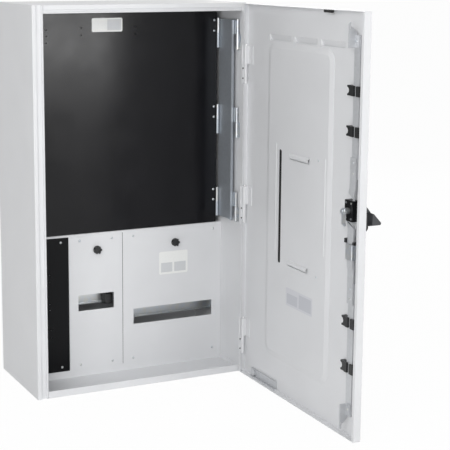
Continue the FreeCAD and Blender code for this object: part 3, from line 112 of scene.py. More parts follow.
# Lamps, in metres: place, aim, and width and height. Their powers are settings of the stage.
MIDDLE = (0.1, -0.4, 0.0)
LAMPS = {
    "window": ((1.25, -4.3, 0.4), MIDDLE, (1.2, 0.9)),
    "fill": ((-2.6, -3.2, 1.4), MIDDLE, (2.4, 2.4)),
    "near": ((-0.75, -2.0, 0.5), (0.3, -0.4, 0.0), (1.0, 1.0)),
    "top": ((0.0, -0.8, 3.4), MIDDLE, (2.4, 2.4)),
    "rear": ((2.6, 2.2, 1.6), MIDDLE, (2.0, 2.0)),
}

# The camera, found by fitting the cabinet's edges: place in metres, and yaw, pitch and roll in
# degrees.
CAMERA_PLACE = Vector((-1.3983, -3.5006, 0.6423))
CAMERA_ANGLES = (24.903, -9.895, 0.086)
CAMERA_SHIFT = (0.12, -0.085)
SENSOR_WIDTH = 36.0

# The floor: its radius in metres, its facets, and its gap under the cabinet in millimetres.
FLOOR_RADIUS, FLOOR_SIDES, FLOOR_GAP = 90, 96, 0.2


# Places -------------------------------------------------------------------------------------

def cabinet_point(x, y, z):
    """Millimetres from the housing's lower front left corner, as a point in the frame."""
    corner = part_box("housing_wrap")[0]
    return Vector((corner.x + x * MM, corner.y + y * MM, corner.z + z * MM))


def joint(name):
    """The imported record's joint of that name."""
    return next(j for j in frame["record"]["behaviour"]["joints"] if j["name"] == name)


def door_turn():
    """The turn that brings a point of the shut door to where the door stands open."""
    hinge = joint("door_swing")
    pin = Matrix.Translation(Vector(hinge["pos_m"]))
    opened = math.radians(-hinge["range_deg"][0])
    return pin @ Matrix.Rotation(opened, 4, "Z") @ pin.inverted()


def door_inward():
    """The way the door's inner side faces as it stands open."""
    return Vector(joint("handle_turn")["axis"]).normalized()


# Colours and nodes --------------------------------------------------------------------------

def linear(code):
    """An sRGB hex colour as linear red, green, blue and alpha."""
    parts = [int(code[i:i + 2], 16) / 255 for i in (0, 2, 4)]
    turned = [p / 12.92 if p <= 0.04045 else ((p + 0.055) / 1.055) ** 2.4 for p in parts]
    return (*turned, 1.0)


def colour_prop(name, text, code):
    """A colour that the user can change."""
    return FloatVectorProperty(name=name, description=text, subtype="COLOR", size=4,
                               min=0.0, max=1.0, default=linear(code))


def add_node(tree, kind, settings=None, inputs=None):
    """Adds a node, sets its properties and its inputs, and links those that are sockets."""
    node = tree.nodes.new(kind)
    for key, value in (settings or {}).items():
        setattr(node, key, value)
    for key, value in (inputs or {}).items():
        if isinstance(value, bpy.types.NodeSocket):
            tree.links.new(value, node.inputs[key])
        else:
            node.inputs[key].default_value = value
    return node


def new_material(name):
    """An empty node material with its output and the object's own coordinates."""
    material = bpy.data.materials.new(name)
    material.use_nodes = True
    tree = material.node_tree
    tree.nodes.clear()
    output = add_node(tree, "ShaderNodeOutputMaterial")
    place = add_node(tree, "ShaderNodeTexCoord").outputs["Object"]
    return material, tree, output, place


def grain(tree, place, size_mm, detail=2.0, stretch=(1.0, 1.0, 1.0)):
    """Noise whose features are about size_mm across, stretched along an axis if asked."""
    if stretch != (1.0, 1.0, 1.0):
        place = add_node(tree, "ShaderNodeMapping", None,
                         {"Vector": place, "Scale": stretch}).outputs["Vector"]
    noise = add_node(tree, "ShaderNodeTexNoise", None,
                     {"Vector": place, "Scale": 1.0 / (size_mm * MM), "Detail": detail})
    return noise.outputs["Fac"]


def spread(tree, value, low, high):
    """The middle of a noise value stretched to run from low to high."""
    return add_node(tree, "ShaderNodeMapRange", None,
                    {"Value": value, "From Min": 0.3, "From Max": 0.7,
                     "To Min": low, "To Max": high}).outputs["Result"]


def tones(tree, value, dark, light):
    """A colour between two tones. The node's sockets for colours share their names with those
    for numbers, so they go by their places."""
    mix = add_node(tree, "ShaderNodeMix", {"data_type": "RGBA"})
    colour_a, colour_b, colour_result = 6, 7, 2
    tree.links.new(value, mix.inputs["Factor"])
    mix.inputs[colour_a].default_value = dark
    mix.inputs[colour_b].default_value = light
    return mix.outputs[colour_result]


def shaded(colour, factor):
    """The same colour, darker or lighter."""
    return (*[min(1.0, c * factor) for c in colour[:3]], 1.0)


def surface(tree, output, fixed, linked):
    """The shader that ends every finish: fixed numbers on its sockets, patterns linked."""
    shader = add_node(tree, "ShaderNodeBsdfPrincipled", None, {**fixed, **linked})
    tree.links.new(shader.outputs["BSDF"], output.inputs["Surface"])


# Finishes -----------------------------------------------------------------------------------

def powder_coat(name, colour, rough, gloss):
    """Polyester powder baked on sheet steel: satin, with orange peel about 2.5 mm across that
    breaks up the highlights, and a faint cloudiness where the coat lies thicker."""
    material, tree, output, place = new_material(name)
    cloud = spread(tree, grain(tree, place, size_mm=140.0, detail=3.0), 0.0, 1.0)
    peel = grain(tree, place, size_mm=2.5, detail=1.0)
    bump = add_node(tree, "ShaderNodeBump", None,
                    {"Height": peel, "Strength": 0.25, "Distance": 0.03 * MM})
    surface(tree, output, {"IOR": 1.5, "Specular IOR Level": gloss},
            {"Base Color": tones(tree, cloud, shaded(colour, 0.975), shaded(colour, 1.015)),
             "Roughness": spread(tree, grain(tree, place, size_mm=35.0),
                                 rough - 0.04, rough + 0.05),
             "Normal": bump.outputs["Normal"]})
    return material


def black_enamel(name, colour, rough):
    """Stoved enamel on the meter panel: deep black that mirrors softly, with a little haze
    and dust that lifts the black here and there."""
    material, tree, output, place = new_material(name)
    dust = spread(tree, grain(tree, place, size_mm=60.0, detail=5.0), 0.0, 1.0)
    peel = grain(tree, place, size_mm=4.0, detail=1.0)
    bump = add_node(tree, "ShaderNodeBump", None,
                    {"Height": peel, "Strength": 0.15, "Distance": 0.02 * MM})
    surface(tree, output, {"IOR": 1.5, "Specular IOR Level": 0.26},
            {"Base Color": tones(tree, dust, colour, shaded(colour, 1.35)),
             "Roughness": spread(tree, grain(tree, place, size_mm=90.0, detail=4.0),
                                 rough - 0.03, rough + 0.05),
             "Normal": bump.outputs["Normal"]})
    return material


def zinc_plating(name, colour, rough):
    """Bright zinc plating with a clear passivation: a grey metal with a faint blue and straw
    cast in patches, and fine drawing lines along the strip's length."""
    material, tree, output, place = new_material(name)
    patch = spread(tree, grain(tree, place, size_mm=12.0, detail=3.0), 0.0, 1.0)
    straw = (min(1.0, colour[0] * 1.03), colour[1], colour[2] * 0.93, 1.0)
    blue = (colour[0] * 0.95, colour[1] * 0.98, min(1.0, colour[2] * 1.03), 1.0)
    drawn = grain(tree, place, size_mm=0.8, detail=2.0, stretch=(1.0, 1.0, 0.06))
    bump = add_node(tree, "ShaderNodeBump", None,
                    {"Height": drawn, "Strength": 0.15, "Distance": 0.02 * MM})
    surface(tree, output, {"Metallic": 1.0},
            {"Base Color": tones(tree, patch, blue, straw),
             "Roughness": spread(tree, grain(tree, place, size_mm=6.0),
                                 rough - 0.06, rough + 0.10),
             "Normal": bump.outputs["Normal"]})
    return material


def galvanised_steel(name, colour, bare):
    """Galvanised strip or plate: pale matt grey, a dull skin of zinc salts over bare metal, whose
    share is bare, with soft cloudy patches and faint rolling lines along the piece."""
    material, tree, output, place = new_material(name)
    patch = spread(tree, grain(tree, place, size_mm=9.0, detail=3.0), 0.0, 1.0)
    rolled = grain(tree, place, size_mm=1.2, detail=2.0, stretch=(1.0, 1.0, 0.05))
    bump = add_node(tree, "ShaderNodeBump", None,
                    {"Height": rolled, "Strength": 0.2, "Distance": 0.02 * MM})
    surface(tree, output, {"Metallic": bare},
            {"Base Color": tones(tree, patch, shaded(colour, 0.95), shaded(colour, 1.03)),
             "Roughness": spread(tree, grain(tree, place, size_mm=5.0), 0.42, 0.55),
             "Normal": bump.outputs["Normal"]})
    return material


def moulded_nylon(name, colour, rough):
    """Glass-filled nylon from a spark-eroded mould: matt black with a tight grain, about
    0.6 mm here so that it shows, and greyer where the glass comes to the surface."""
    material, tree, output, place = new_material(name)
    fibre = spread(tree, grain(tree, place, size_mm=5.0, detail=4.0), 0.0, 1.0)
    spark = grain(tree, place, size_mm=0.6, detail=1.0)
    bump = add_node(tree, "ShaderNodeBump", None,
                    {"Height": spark, "Strength": 0.3, "Distance": 0.03 * MM})
    surface(tree, output, {"IOR": 1.53},
            {"Base Color": tones(tree, fibre, colour, shaded(colour, 1.5)),
             "Roughness": spread(tree, grain(tree, place, size_mm=3.0),
                                 rough - 0.05, rough + 0.06),
             "Normal": bump.outputs["Normal"]})
    return material


def soft_rubber(name, colour):
    """Moulded EPDM rubber: dull, nearly black, with a pale bloom in the hollows of its skin."""
    material, tree, output, place = new_material(name)
    bloom = spread(tree, grain(tree, place, size_mm=8.0, detail=4.0), 0.0, 1.0)
    skin = grain(tree, place, size_mm=0.9, detail=1.0)
    bump = add_node(tree, "ShaderNodeBump", None,
                    {"Height": skin, "Strength": 0.3, "Distance": 0.05 * MM})
    surface(tree, output, {"IOR": 1.5},
            {"Base Color": tones(tree, bloom, colour, shaded(colour, 1.8)),
             "Roughness": spread(tree, bloom, 0.72, 0.85),
             "Normal": bump.outputs["Normal"]})
    return material


def label_film(name, colour):
    """Matt polyester film stuck on the metal: even, slightly mottled by its adhesive."""
    material, tree, output, place = new_material(name)
    mottle = spread(tree, grain(tree, place, size_mm=3.0, detail=3.0), 0.0, 1.0)
    surface(tree, output, {"IOR": 1.46},
            {"Base Color": tones(tree, mottle, shaded(colour, 0.97), colour),
             "Roughness": spread(tree, grain(tree, place, size_mm=9.0), 0.38, 0.48)})
    return material


MATERIAL_NAMES = {
    "coat": "light_grey_powder_coat", "enamel": "gloss_black_stoved_enamel",
    "satin": "satin_black_powder_coat", "zinc": "clear_zinc_plating",
    "strip": "galvanised_steel_strip", "plate": "galvanised_steel_plate",
    "cast": "anthracite_coated_casting", "burnt": "blackened_steel",
    "nylon": "black_glass_filled_nylon",
    "grip": "polished_black_nylon", "rubber": "black_epdm_rubber", "film": "white_label_film",
    "field": "grey_label_field", "silver": "silver_label_film", "print": "silver_label_field",
}

FINISH_OF_NODE = {
    "coat": ["housing_wrap", "roof_panel", "floor_panel", "gland_plate", "bay_frame",
             "escutcheon_left", "escutcheon_right", "panel_stop_angle", "door_pan",
             "door_liner", "frame_leaves", "door_leaves", "handle_rose"],
    "enamel": ["meter_panel"],
    "satin": ["side_cover", "lock_case", "lock_cover"],
    "zinc": ["gland_screws", "front_screws", "din_rail_left", "din_rail_right",
             "rail_brackets", "wall_leaves", "link_hinge_pins", "door_hinge_pins",
             "liner_screws", "cover_rivets", "rod_bridge", "spindle", "pinion", "locking_cam",
             "cam_nut", "upper_rod_screws", "lower_rod_screws", "link_front_leaves",
             "panel_hinge_pins", "panel_leaves", "panel_leaf_screws", "latch_arm_left",
             "latch_arm_right"],
    "plate": ["link_plate", "link_rear_leaves"],
    "cast": ["handle"],
    "strip": ["upper_rack", "upper_rod", "upper_hook", "lower_rack", "lower_rod", "lower_hook",
              "stay_guide", "stay_stop"],
    "burnt": ["padlock_eye", "frame_leaf_rivets"],
    "nylon": ["rail_end_stop", "rod_guides", "bridge_buffers"],
    "grip": ["knob_left", "knob_right"],
    "rubber": ["door_bumper"],
}


def make_finishes(paint):
    """Makes every finish of the cabinet under its material's name."""
    names = MATERIAL_NAMES
    powder_coat(names["coat"], paint.coat, rough=paint.coat_rough, gloss=0.5)
    black_enamel(names["enamel"], paint.enamel, rough=paint.enamel_rough)
    powder_coat(names["satin"], paint.satin, rough=0.36, gloss=0.12)
    powder_coat(names["cast"], paint.cast, rough=0.3, gloss=0.6)
    zinc_plating(names["zinc"], paint.zinc, rough=0.36)
    galvanised_steel(names["strip"], paint.strip, bare=0.45)
    galvanised_steel(names["plate"], paint.plate, bare=0.7)
    zinc_plating(names["burnt"], paint.burnt, rough=0.42)
    moulded_nylon(names["nylon"], paint.nylon, rough=0.46)
    moulded_nylon(names["grip"], paint.grip, rough=0.24)
    soft_rubber(names["rubber"], paint.rubber)
    label_film(names["film"], paint.film)
    label_film(names["field"], paint.field)
    label_film(names["silver"], paint.silver)
    label_film(names["print"], paint.silver_field)


def finish(name):
    """A finish that the first operator made."""
    return bpy.data.materials[MATERIAL_NAMES[name]]


# Fasteners ----------------------------------------------------------------------------------

def loose_parts(node):
    """The vertices of each separate solid of a node, in the order of the node's mesh, so that
    each fastener gets the same random turn in every run."""
    work = bmesh.new()
    work.from_mesh(frame["nodes"][node].data)
    bmesh.ops.remove_doubles(work, verts=work.verts, dist=1e-6)
    work.verts.index_update()
    seen, groups = set(), []
    for first in work.verts:
        if first.index in seen:
            continue
        seen.add(first.index)
        group = [first]
        for vert in group:
            for other in (edge.other_vert(vert) for edge in vert.link_edges):
                if other.index not in seen:
                    seen.add(other.index)
                    group.append(other)
        groups.append([v.co.copy() for v in group])
    work.free()
    return groups


def fastener_sizes(points, axis):
    """Seat, head and shank of one fastener whose head looks along axis. Points within level of
    the foot are its end, and the head is seated where it first has its full radius."""
    level, full = 1e-5, 0.97
    along = [p.dot(axis) for p in points]
    top, foot = max(along), min(along)
    ends = [p for p, t in zip(points, along) if t < foot + level]
    centre = sum(ends, Vector()) / len(ends)

    def radius(p):
        away = p - centre
        return (away - axis * away.dot(axis)).length

    head = max(radius(p) for p in points)
    seat = min(t for p, t in zip(points, along) if radius(p) > head * full)
    return {"seat": centre + axis * (seat - foot), "axis": axis, "head": head,
            "rise": top - seat, "shank": max(radius(p) for p in ends), "sink": seat - foot}


def points_mesh(name, places):
    """One vertex for each fastener, which carries its axis and its sizes."""
    mesh = bpy.data.meshes.new(name)
    mesh.from_pydata([p["seat"] for p in places], [], [])
    axis = mesh.attributes.new("axis", "FLOAT_VECTOR", "POINT")
    head = mesh.attributes.new("head", "FLOAT_VECTOR", "POINT")
    shank = mesh.attributes.new("shank", "FLOAT_VECTOR", "POINT")
    for i, p in enumerate(places):
        axis.data[i].vector = p["axis"]
        head.data[i].vector = (p["head"], p["head"], p["rise"])
        shank.data[i].vector = (p["shank"], p["shank"], p["sink"])
    return mesh


def named_vector(tree, name):
    """A vector that the points carry."""
    return add_node(tree, "GeometryNodeInputNamedAttribute", {"data_type": "FLOAT_VECTOR"},
                    {"Name": name}).outputs["Attribute"]


def fastener_tree(name, crossed):
    """Domed fasteners on points, with a cross recess or a rivet's round dimple. The dome is one
    high and one in radius before its point scales it."""
    tree = bpy.data.node_groups.new(name, "GeometryNodeTree")
    face = tree.interface
    face.new_socket("Geometry", in_out="INPUT", socket_type="NodeSocketGeometry")
    for label, default in (("Recess Width", 0.2), ("Recess Depth", 0.5)):
        socket = face.new_socket(label, in_out="INPUT", socket_type="NodeSocketFloat")
        socket.default_value = default
    for label, default in (("Sides", 24), ("Seed", 3)):
        socket = face.new_socket(label, in_out="INPUT", socket_type="NodeSocketInt")
        socket.default_value = default
    face.new_socket("Material", in_out="INPUT", socket_type="NodeSocketMaterial")
    face.new_socket("Geometry", in_out="OUTPUT", socket_type="NodeSocketGeometry")
    given = add_node(tree, "NodeGroupInput").outputs
    ball = add_node(tree, "GeometryNodeMeshUVSphere", None,
                    {"Segments": given["Sides"], "Rings": DOME_RINGS, "Radius": 1.0})
    height = add_node(tree, "ShaderNodeSeparateXYZ", None,
                      {"Vector": add_node(tree, "GeometryNodeInputPosition").outputs["Position"]})
    under = add_node(tree, "FunctionNodeCompare", {"operation": "LESS_THAN"},
                     {"A": height.outputs["Z"], "B": -0.001})
    dome = add_node(tree, "GeometryNodeDeleteGeometry", {"domain": "POINT"},
                    {"Geometry": ball.outputs["Mesh"], "Selection": under.outputs["Result"]})
    disc = add_node(tree, "GeometryNodeMeshCircle", {"fill_type": "NGON"},
                    {"Vertices": given["Sides"], "Radius": 1.0})
    under_disc = add_node(tree, "GeometryNodeFlipFaces", None, {"Mesh": disc.outputs["Mesh"]})
    both = add_node(tree, "GeometryNodeJoinGeometry")
    tree.links.new(dome.outputs["Geometry"], both.inputs["Geometry"])
    tree.links.new(under_disc.outputs["Mesh"], both.inputs["Geometry"])
    closed = add_node(tree, "GeometryNodeMergeByDistance", None,
                      {"Geometry": both.outputs["Geometry"], "Distance": 0.001})
    carve = add_node(tree, "GeometryNodeMeshBoolean", {"operation": "DIFFERENCE"},
                     {"Mesh 1": closed.outputs["Geometry"]})
    deep = add_node(tree, "ShaderNodeMath", {"operation": "SUBTRACT"},
                    {0: 1.0 + CUTTER_HEIGHT / 2, 1: given["Recess Depth"]}).outputs["Value"]
    lift = add_node(tree, "ShaderNodeCombineXYZ", None, {"Z": deep}).outputs["Vector"]
    if crossed:
        for way in ("X", "Y"):
            other = "Y" if way == "X" else "X"
            size = add_node(tree, "ShaderNodeCombineXYZ", None,
                            {way: CROSS_LENGTH, other: given["Recess Width"],
                             "Z": CUTTER_HEIGHT})
            bar = add_node(tree, "GeometryNodeMeshCube", None, {"Size": size.outputs["Vector"]})
            placed = add_node(tree, "GeometryNodeTransform", None,
                              {"Geometry": bar.outputs["Mesh"], "Translation": lift})
            tree.links.new(placed.outputs["Geometry"], carve.inputs["Mesh 2"])
    else:
        plug = add_node(tree, "GeometryNodeMeshCylinder", None,
                        {"Vertices": DIMPLE_SIDES, "Radius": given["Recess Width"],
                         "Depth": CUTTER_HEIGHT})
        placed = add_node(tree, "GeometryNodeTransform", None,
                          {"Geometry": plug.outputs["Mesh"], "Translation": lift})
        tree.links.new(placed.outputs["Geometry"], carve.inputs["Mesh 2"])
    rod = add_node(tree, "GeometryNodeMeshCylinder", None,
                   {"Vertices": given["Sides"], "Radius": 1.0, "Depth": 1.0})
    below = add_node(tree, "GeometryNodeTransform", None,
                     {"Geometry": rod.outputs["Mesh"], "Translation": (0.0, 0.0, -0.5)})
    stand = add_node(tree, "FunctionNodeAlignRotationToVector", {"axis": "Z"},
                     {"Vector": named_vector(tree, "axis")}).outputs["Rotation"]
    angle = add_node(tree, "FunctionNodeRandomValue", {"data_type": "FLOAT"},
                     {"Min": 0.0, "Max": math.pi})
    tree.links.new(given["Seed"], angle.inputs["Seed"])
    own = add_node(tree, "FunctionNodeAxisAngleToRotation", None,
                   {"Axis": (0.0, 0.0, 1.0), "Angle": angle.outputs[1]}).outputs["Rotation"]
    turned = add_node(tree, "FunctionNodeRotateRotation", {"rotation_space": "LOCAL"},
                      {"Rotation": stand, "Rotate By": own}).outputs["Rotation"]
    whole = add_node(tree, "GeometryNodeJoinGeometry")
    for shape, size in ((carve.outputs["Mesh"], "head"), (below.outputs["Geometry"], "shank")):
        copies = add_node(tree, "GeometryNodeInstanceOnPoints", None,
                          {"Points": given["Geometry"], "Instance": shape,
                           "Rotation": turned, "Scale": named_vector(tree, size)})
        tree.links.new(copies.outputs["Instances"], whole.inputs["Geometry"])
    real = add_node(tree, "GeometryNodeRealizeInstances", None,
                    {"Geometry": whole.outputs["Geometry"]})
    painted = add_node(tree, "GeometryNodeSetMaterial", None,
                       {"Geometry": real.outputs["Geometry"], "Material": given["Material"]})
    add_node(tree, "NodeGroupOutput", None, {"Geometry": painted.outputs["Geometry"]})
    return tree


def dress_fasteners(node, body, axis, tree, values):
    """Replaces a CAD node of fasteners with detailed ones of the same sizes and places."""
    places = [fastener_sizes(points, axis) for points in loose_parts(node)]
    name = node + "_detailed"
    piece = bpy.data.objects.new(name, points_mesh(name, places))
    bpy.context.scene.collection.objects.link(piece)
    modifier = piece.modifiers.new("fasteners", "NODES")
    modifier.node_group = tree
    for item in tree.interface.items_tree:
        if item.in_out == "INPUT" and item.name in values:
            modifier[item.identifier] = values[item.name]
    bpy.context.view_layer.update()
    graph = bpy.context.evaluated_depsgraph_get()
    mesh = bpy.data.meshes.new_from_object(piece.evaluated_get(graph), depsgraph=graph)
    piece.modifiers.remove(modifier)
    piece.data = mesh
    mesh.shade_smooth()
    mesh.set_sharp_from_angle(angle=FASTENER_CREASE)
    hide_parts(node)
    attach(piece, body)
    return piece


# Label fields -------------------------------------------------------------------------------

def settled_mesh(name, work):
    """A mesh whose points and faces come in the same order in every run."""
    points = sorted(work.verts, key=lambda v: [round(c, 6) for c in v.co])
    place = {vert: i for i, vert in enumerate(points)}
    faces = []
    for face in work.faces:
        loop = [place[v] for v in face.verts]
        start = loop.index(min(loop))
        faces.append((loop[start:] + loop[:start], face.material_index))
    faces.sort()
    mesh = bpy.data.meshes.new(name)
    mesh.from_pydata([v.co for v in points], [], [loop for loop, _ in faces])
    for polygon, (_, tone) in zip(mesh.polygons, faces):
        polygon.material_index = tone
    return mesh


def field_plate(name, corner, across, up, out, size, blocks, thick, films):
    """A thin film with round corners; blocks are plain areas of the second tone on it."""
    work = bmesh.new()
    wide, high = size
    xs = sorted({0.0, wide, *[b[0] for b in blocks], *[b[1] for b in blocks]})
    zs = sorted({0.0, high, *[b[2] for b in blocks], *[b[3] for b in blocks]})
    grid = [[work.verts.new(corner + across * (x * MM) + up * (z * MM) + out * (thick * MM))
             for x in xs] for z in zs]
    for j in range(len(zs) - 1):
        for i in range(len(xs) - 1):
            quad = work.faces.new((grid[j][i], grid[j][i + 1], grid[j + 1][i + 1], grid[j + 1][i]))
            mid = ((xs[i] + xs[i + 1]) / 2, (zs[j] + zs[j + 1]) / 2)
            quad.material_index = int(any(b[0] < mid[0] < b[1] and b[2] < mid[1] < b[3]
                                          for b in blocks))
    corners = [grid[0][0], grid[0][-1], grid[-1][0], grid[-1][-1]]
    bmesh.ops.bevel(work, geom=corners, offset=FIELD_CORNER * MM, segments=4, affect="VERTICES")
    grown = bmesh.ops.extrude_face_region(work, geom=work.faces[:])
    moved = [g for g in grown["geom"] if isinstance(g, bmesh.types.BMVert)]
    bmesh.ops.translate(work, verts=moved, vec=-out * (thick * MM))
    bmesh.ops.recalc_face_normals(work, faces=work.faces)
    mesh = settled_mesh(name, work)
    work.free()
    for film in films:
        mesh.materials.append(finish(film))
    piece = bpy.data.objects.new(name, mesh)
    bpy.context.scene.collection.objects.link(piece)
    return piece


# Small pressed details -----------------------------------------------------------------------

def half_round(name, foot, top, out, wide, proud, look):
    """A pressed bead with round ends from foot to top, standing proud along out."""
    work = bmesh.new()
    along = (top - foot).normalized()
    across = along.cross(out)
    rings = []
    quarter = [math.radians(90 * i / BEAD_STEPS) for i in range(BEAD_STEPS + 1)]
    half = [math.pi * k / BEAD_ARCS for k in range(BEAD_ARCS + 1)]
    for end, side, turns in ((foot, -1, quarter), (top, 1, quarter[::-1])):
        for turn in turns:
            size = max(math.sin(turn), BEAD_TIP)
            centre = end + along * (side * math.cos(turn) * wide / 2)
            rings.append([work.verts.new(centre + across * (math.cos(a) * wide / 2 * size)
                                         + out * (math.sin(a) * proud * size)) for a in half])
    for lower, upper in zip(rings, rings[1:]):
        for k in range(BEAD_ARCS):
            work.faces.new((lower[k], lower[k + 1], upper[k + 1], upper[k]))
        work.faces.new((lower[-1], lower[0], upper[0], upper[-1]))
    work.faces.new(rings[0])
    work.faces.new(rings[-1])
    bmesh.ops.recalc_face_normals(work, faces=work.faces)
    mesh = bpy.data.meshes.new(name)
    work.to_mesh(mesh)
    work.free()
    mesh.materials.append(finish(look))
    mesh.shade_smooth()
    mesh.set_sharp_from_angle(angle=BEAD_CREASE)
    piece = bpy.data.objects.new(name, mesh)
    bpy.context.scene.collection.objects.link(piece)
    return piece


# Settings -----------------------------------------------------------------------------------

class CabinetFinishes(bpy.types.PropertyGroup):
    """Colours and gloss."""
    coat: colour_prop("Coat", "Powder coat on the housing, door and covers", "DBDCDE")
    coat_rough: FloatProperty(name="Coat roughness", description="Dullness of the grey coat",
                              default=0.42, min=0.0, max=1.0, subtype="FACTOR")
    enamel: colour_prop("Enamel", "Gloss black on the meter panel", "0D0D10")
    enamel_rough: FloatProperty(name="Enamel roughness", description="Dullness of the black enamel",
                                default=0.2, min=0.0, max=1.0, subtype="FACTOR")
    satin: colour_prop("Satin black", "Side cover and lock case", "0F1012")
    burnt: colour_prop("Blackened steel", "Padlock eye and rivets of the door hinges", "2E2E2F")
    zinc: colour_prop("Zinc", "Plated hinges, rails and screws", "CDD0D3")
    strip: colour_prop("Galvanised strip", "Rods, hooks and the channel on the door's foot",
                       "C6C8CB")
    plate: colour_prop("Galvanised plate", "Link plate and its rear leaves", "B9BFC6")
    cast: colour_prop("Anthracite", "Coat on the handle's casting", "38393C")
    nylon: colour_prop("Nylon", "Rod guides and stops", "141516")
    grip: colour_prop("Polished nylon", "Knobs", "18191A")
    rubber: colour_prop("Rubber", "Door bumper", "161616")
    film: colour_prop("Film", "Plain label film", "EDEEEC")
    field: colour_prop("Field", "Plain areas on the labels", "CFD1D3")
    silver: colour_prop("Silver film", "Plain film on the door", "D3D4D9")
    silver_field: colour_prop("Silver film's field", "Plain areas on the door's film", "C4C6CC")


class CabinetFittings(bpy.types.PropertyGroup):
    """Sizes of the fasteners' details and of the label film."""
    recess_width: FloatProperty(name="Recess width", description="Width of a cross recess's arm, "
                                "as a share of the head's radius", default=0.22, min=0.05, max=0.6)
    recess_depth: FloatProperty(name="Recess depth", description="Depth of a cross recess, "
                                "as a share of the head's height", default=0.55, min=0.1, max=0.95)
    dimple_width: FloatProperty(name="Dimple radius", description="Radius of a rivet's dimple, "
                                "as a share of the head's radius", default=0.36, min=0.1, max=0.8)
    dimple_depth: FloatProperty(name="Dimple depth", description="Depth of a rivet's dimple, "
                                "as a share of the head's height", default=0.4, min=0.05, max=0.95)
    sides: IntProperty(name="Sides", description="Facets round a fastener", default=24, min=8,
                       max=64)
    seed: IntProperty(name="Seed", description="How the recesses are turned", default=3, min=0)
    film_thick: FloatProperty(name="Film thickness", description="Label film, in millimetres",
                              default=0.15, min=0.05, max=0.5)


class CabinetStage(bpy.types.PropertyGroup):
    """Floor, lamps and camera."""
    ambient: FloatProperty(name="Ambient", description="Light from all round", default=0.365,
                           min=0.0)
    window: FloatProperty(name="Window lamp", description="Soft lamp that the meter panel mirrors",
                          default=27.0, min=0.0, unit="POWER")
    fill: FloatProperty(name="Fill lamp", description="Soft lamp at the left, before the open side",
                        default=60.0, min=0.0, unit="POWER")
    near: FloatProperty(name="Near lamp", description="Soft lamp before the open cabinet",
                        default=7.0, min=0.0, unit="POWER")
    top: FloatProperty(name="Top lamp", description="Soft lamp over the cabinet", default=22.0,
                       min=0.0, unit="POWER")
    rear: FloatProperty(name="Rear lamp", description="Soft lamp behind the cabinet, at the right",
                        default=30.0, min=0.0, unit="POWER")
    floor: colour_prop("Floor", "Studio floor", "F4F4F4")
    glow: FloatProperty(name="Floor glow", description="How near to white the floor is seen",
                        default=0.97, min=0.0, max=1.0, subtype="FACTOR")
    lens: FloatProperty(name="Lens", description="Focal length of the camera", default=103.482,
                        min=10.0, unit="CAMERA")


# Operators ----------------------------------------------------------------------------------

class CABINET_OT_finishes(bpy.types.Operator):
    """Give every CAD piece its finish"""
    bl_idname = "cabinet.finishes"
    bl_label = "Finishes"

    def execute(self, context):
        make_finishes(context.scene.cabinet_finishes)
        for key, nodes in FINISH_OF_NODE.items():
            for node in nodes:
                mesh = frame["nodes"][node].data
                mesh.materials.clear()
                mesh.materials.append(finish(key))
        return {"FINISHED"}


class CABINET_OT_screws(bpy.types.Operator):
    """Cross-recess screws on the covers, panel, door and rods"""
    bl_idname = "cabinet.screws"
    bl_label = "Screws"

    def execute(self, context):
        sizes = context.scene.cabinet_fittings
        values = {"Recess Width": sizes.recess_width, "Recess Depth": sizes.recess_depth,
                  "Sides": sizes.sides, "Seed": sizes.seed, "Material": finish("zinc")}
        tree = fastener_tree("cross_recess_screws", True)
        inward = door_inward()
        for node, body, axis in (("front_screws", "cabinet", FRONT),
                                 ("panel_leaf_screws", "panel", FRONT),
                                 ("liner_screws", "door", inward),
                                 ("upper_rod_screws", "upper_rods", inward),
                                 ("lower_rod_screws", "lower_rods", inward)):
            dress_fasteners(node, body, axis, tree, values)
        return {"FINISHED"}


class CABINET_OT_rivets(bpy.types.Operator):
    """Blind rivets on the door hinges"""
    bl_idname = "cabinet.rivets"
    bl_label = "Rivets"

    def execute(self, context):
        sizes = context.scene.cabinet_fittings
        values = {"Recess Width": sizes.dimple_width, "Recess Depth": sizes.dimple_depth,
                  "Sides": sizes.sides, "Seed": sizes.seed, "Material": finish("burnt")}
        tree = fastener_tree("blind_rivets", False)
        dress_fasteners("frame_leaf_rivets", "cabinet", FRONT, tree, values)
        return {"FINISHED"}


class CABINET_OT_labels(bpy.types.Operator):
    """Plain label fields on the meter panel, the right cover and the door's liner"""
    bl_idname = "cabinet.labels"
    bl_label = "Label fields"

    def execute(self, context):
        thick = context.scene.cabinet_fittings.film_thick
        panel = self.on_front("panel_label", PANEL_LABEL, "meter_panel", thick)
        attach(panel, "panel")
        cover = self.on_front("cover_label", COVER_LABEL, "escutcheon_right", thick)
        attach(cover, "cabinet")
        door = self.on_door("door_label", DOOR_LABEL, LINER_FACE, thick, ("silver", "print"))
        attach(door, "door")
        # A black rubber sheet at the back of the document slot: painted shade that darkens the
        # pocket.
        pocket_shade = self.on_door("pocket_lining", POCKET_PAINTED_SHADE, POCKET_BACK, thick, ("rubber",))
        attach(pocket_shade, "door")
        return {"FINISHED"}

    def on_front(self, name, field, node, thick):
        """A field on the front face of a node."""
        (x, z), size, blocks = field
        face = (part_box(node)[0].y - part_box("housing_wrap")[0].y) / MM
        return field_plate(name, cabinet_point(x, face, z), RIGHT, UP, FRONT, size, blocks, thick,
                           ("film", "field"))

    def on_door(self, name, field, face, thick, films):
        """A field on the door's inner side, placed as on the shut door."""
        (x, z), size, blocks = field
        turn = door_turn()
        spin = turn.to_3x3()
        return field_plate(name, turn @ cabinet_point(x, face, z), spin @ LEFT, UP, spin @ BACK,
                           size, blocks, thick, films)


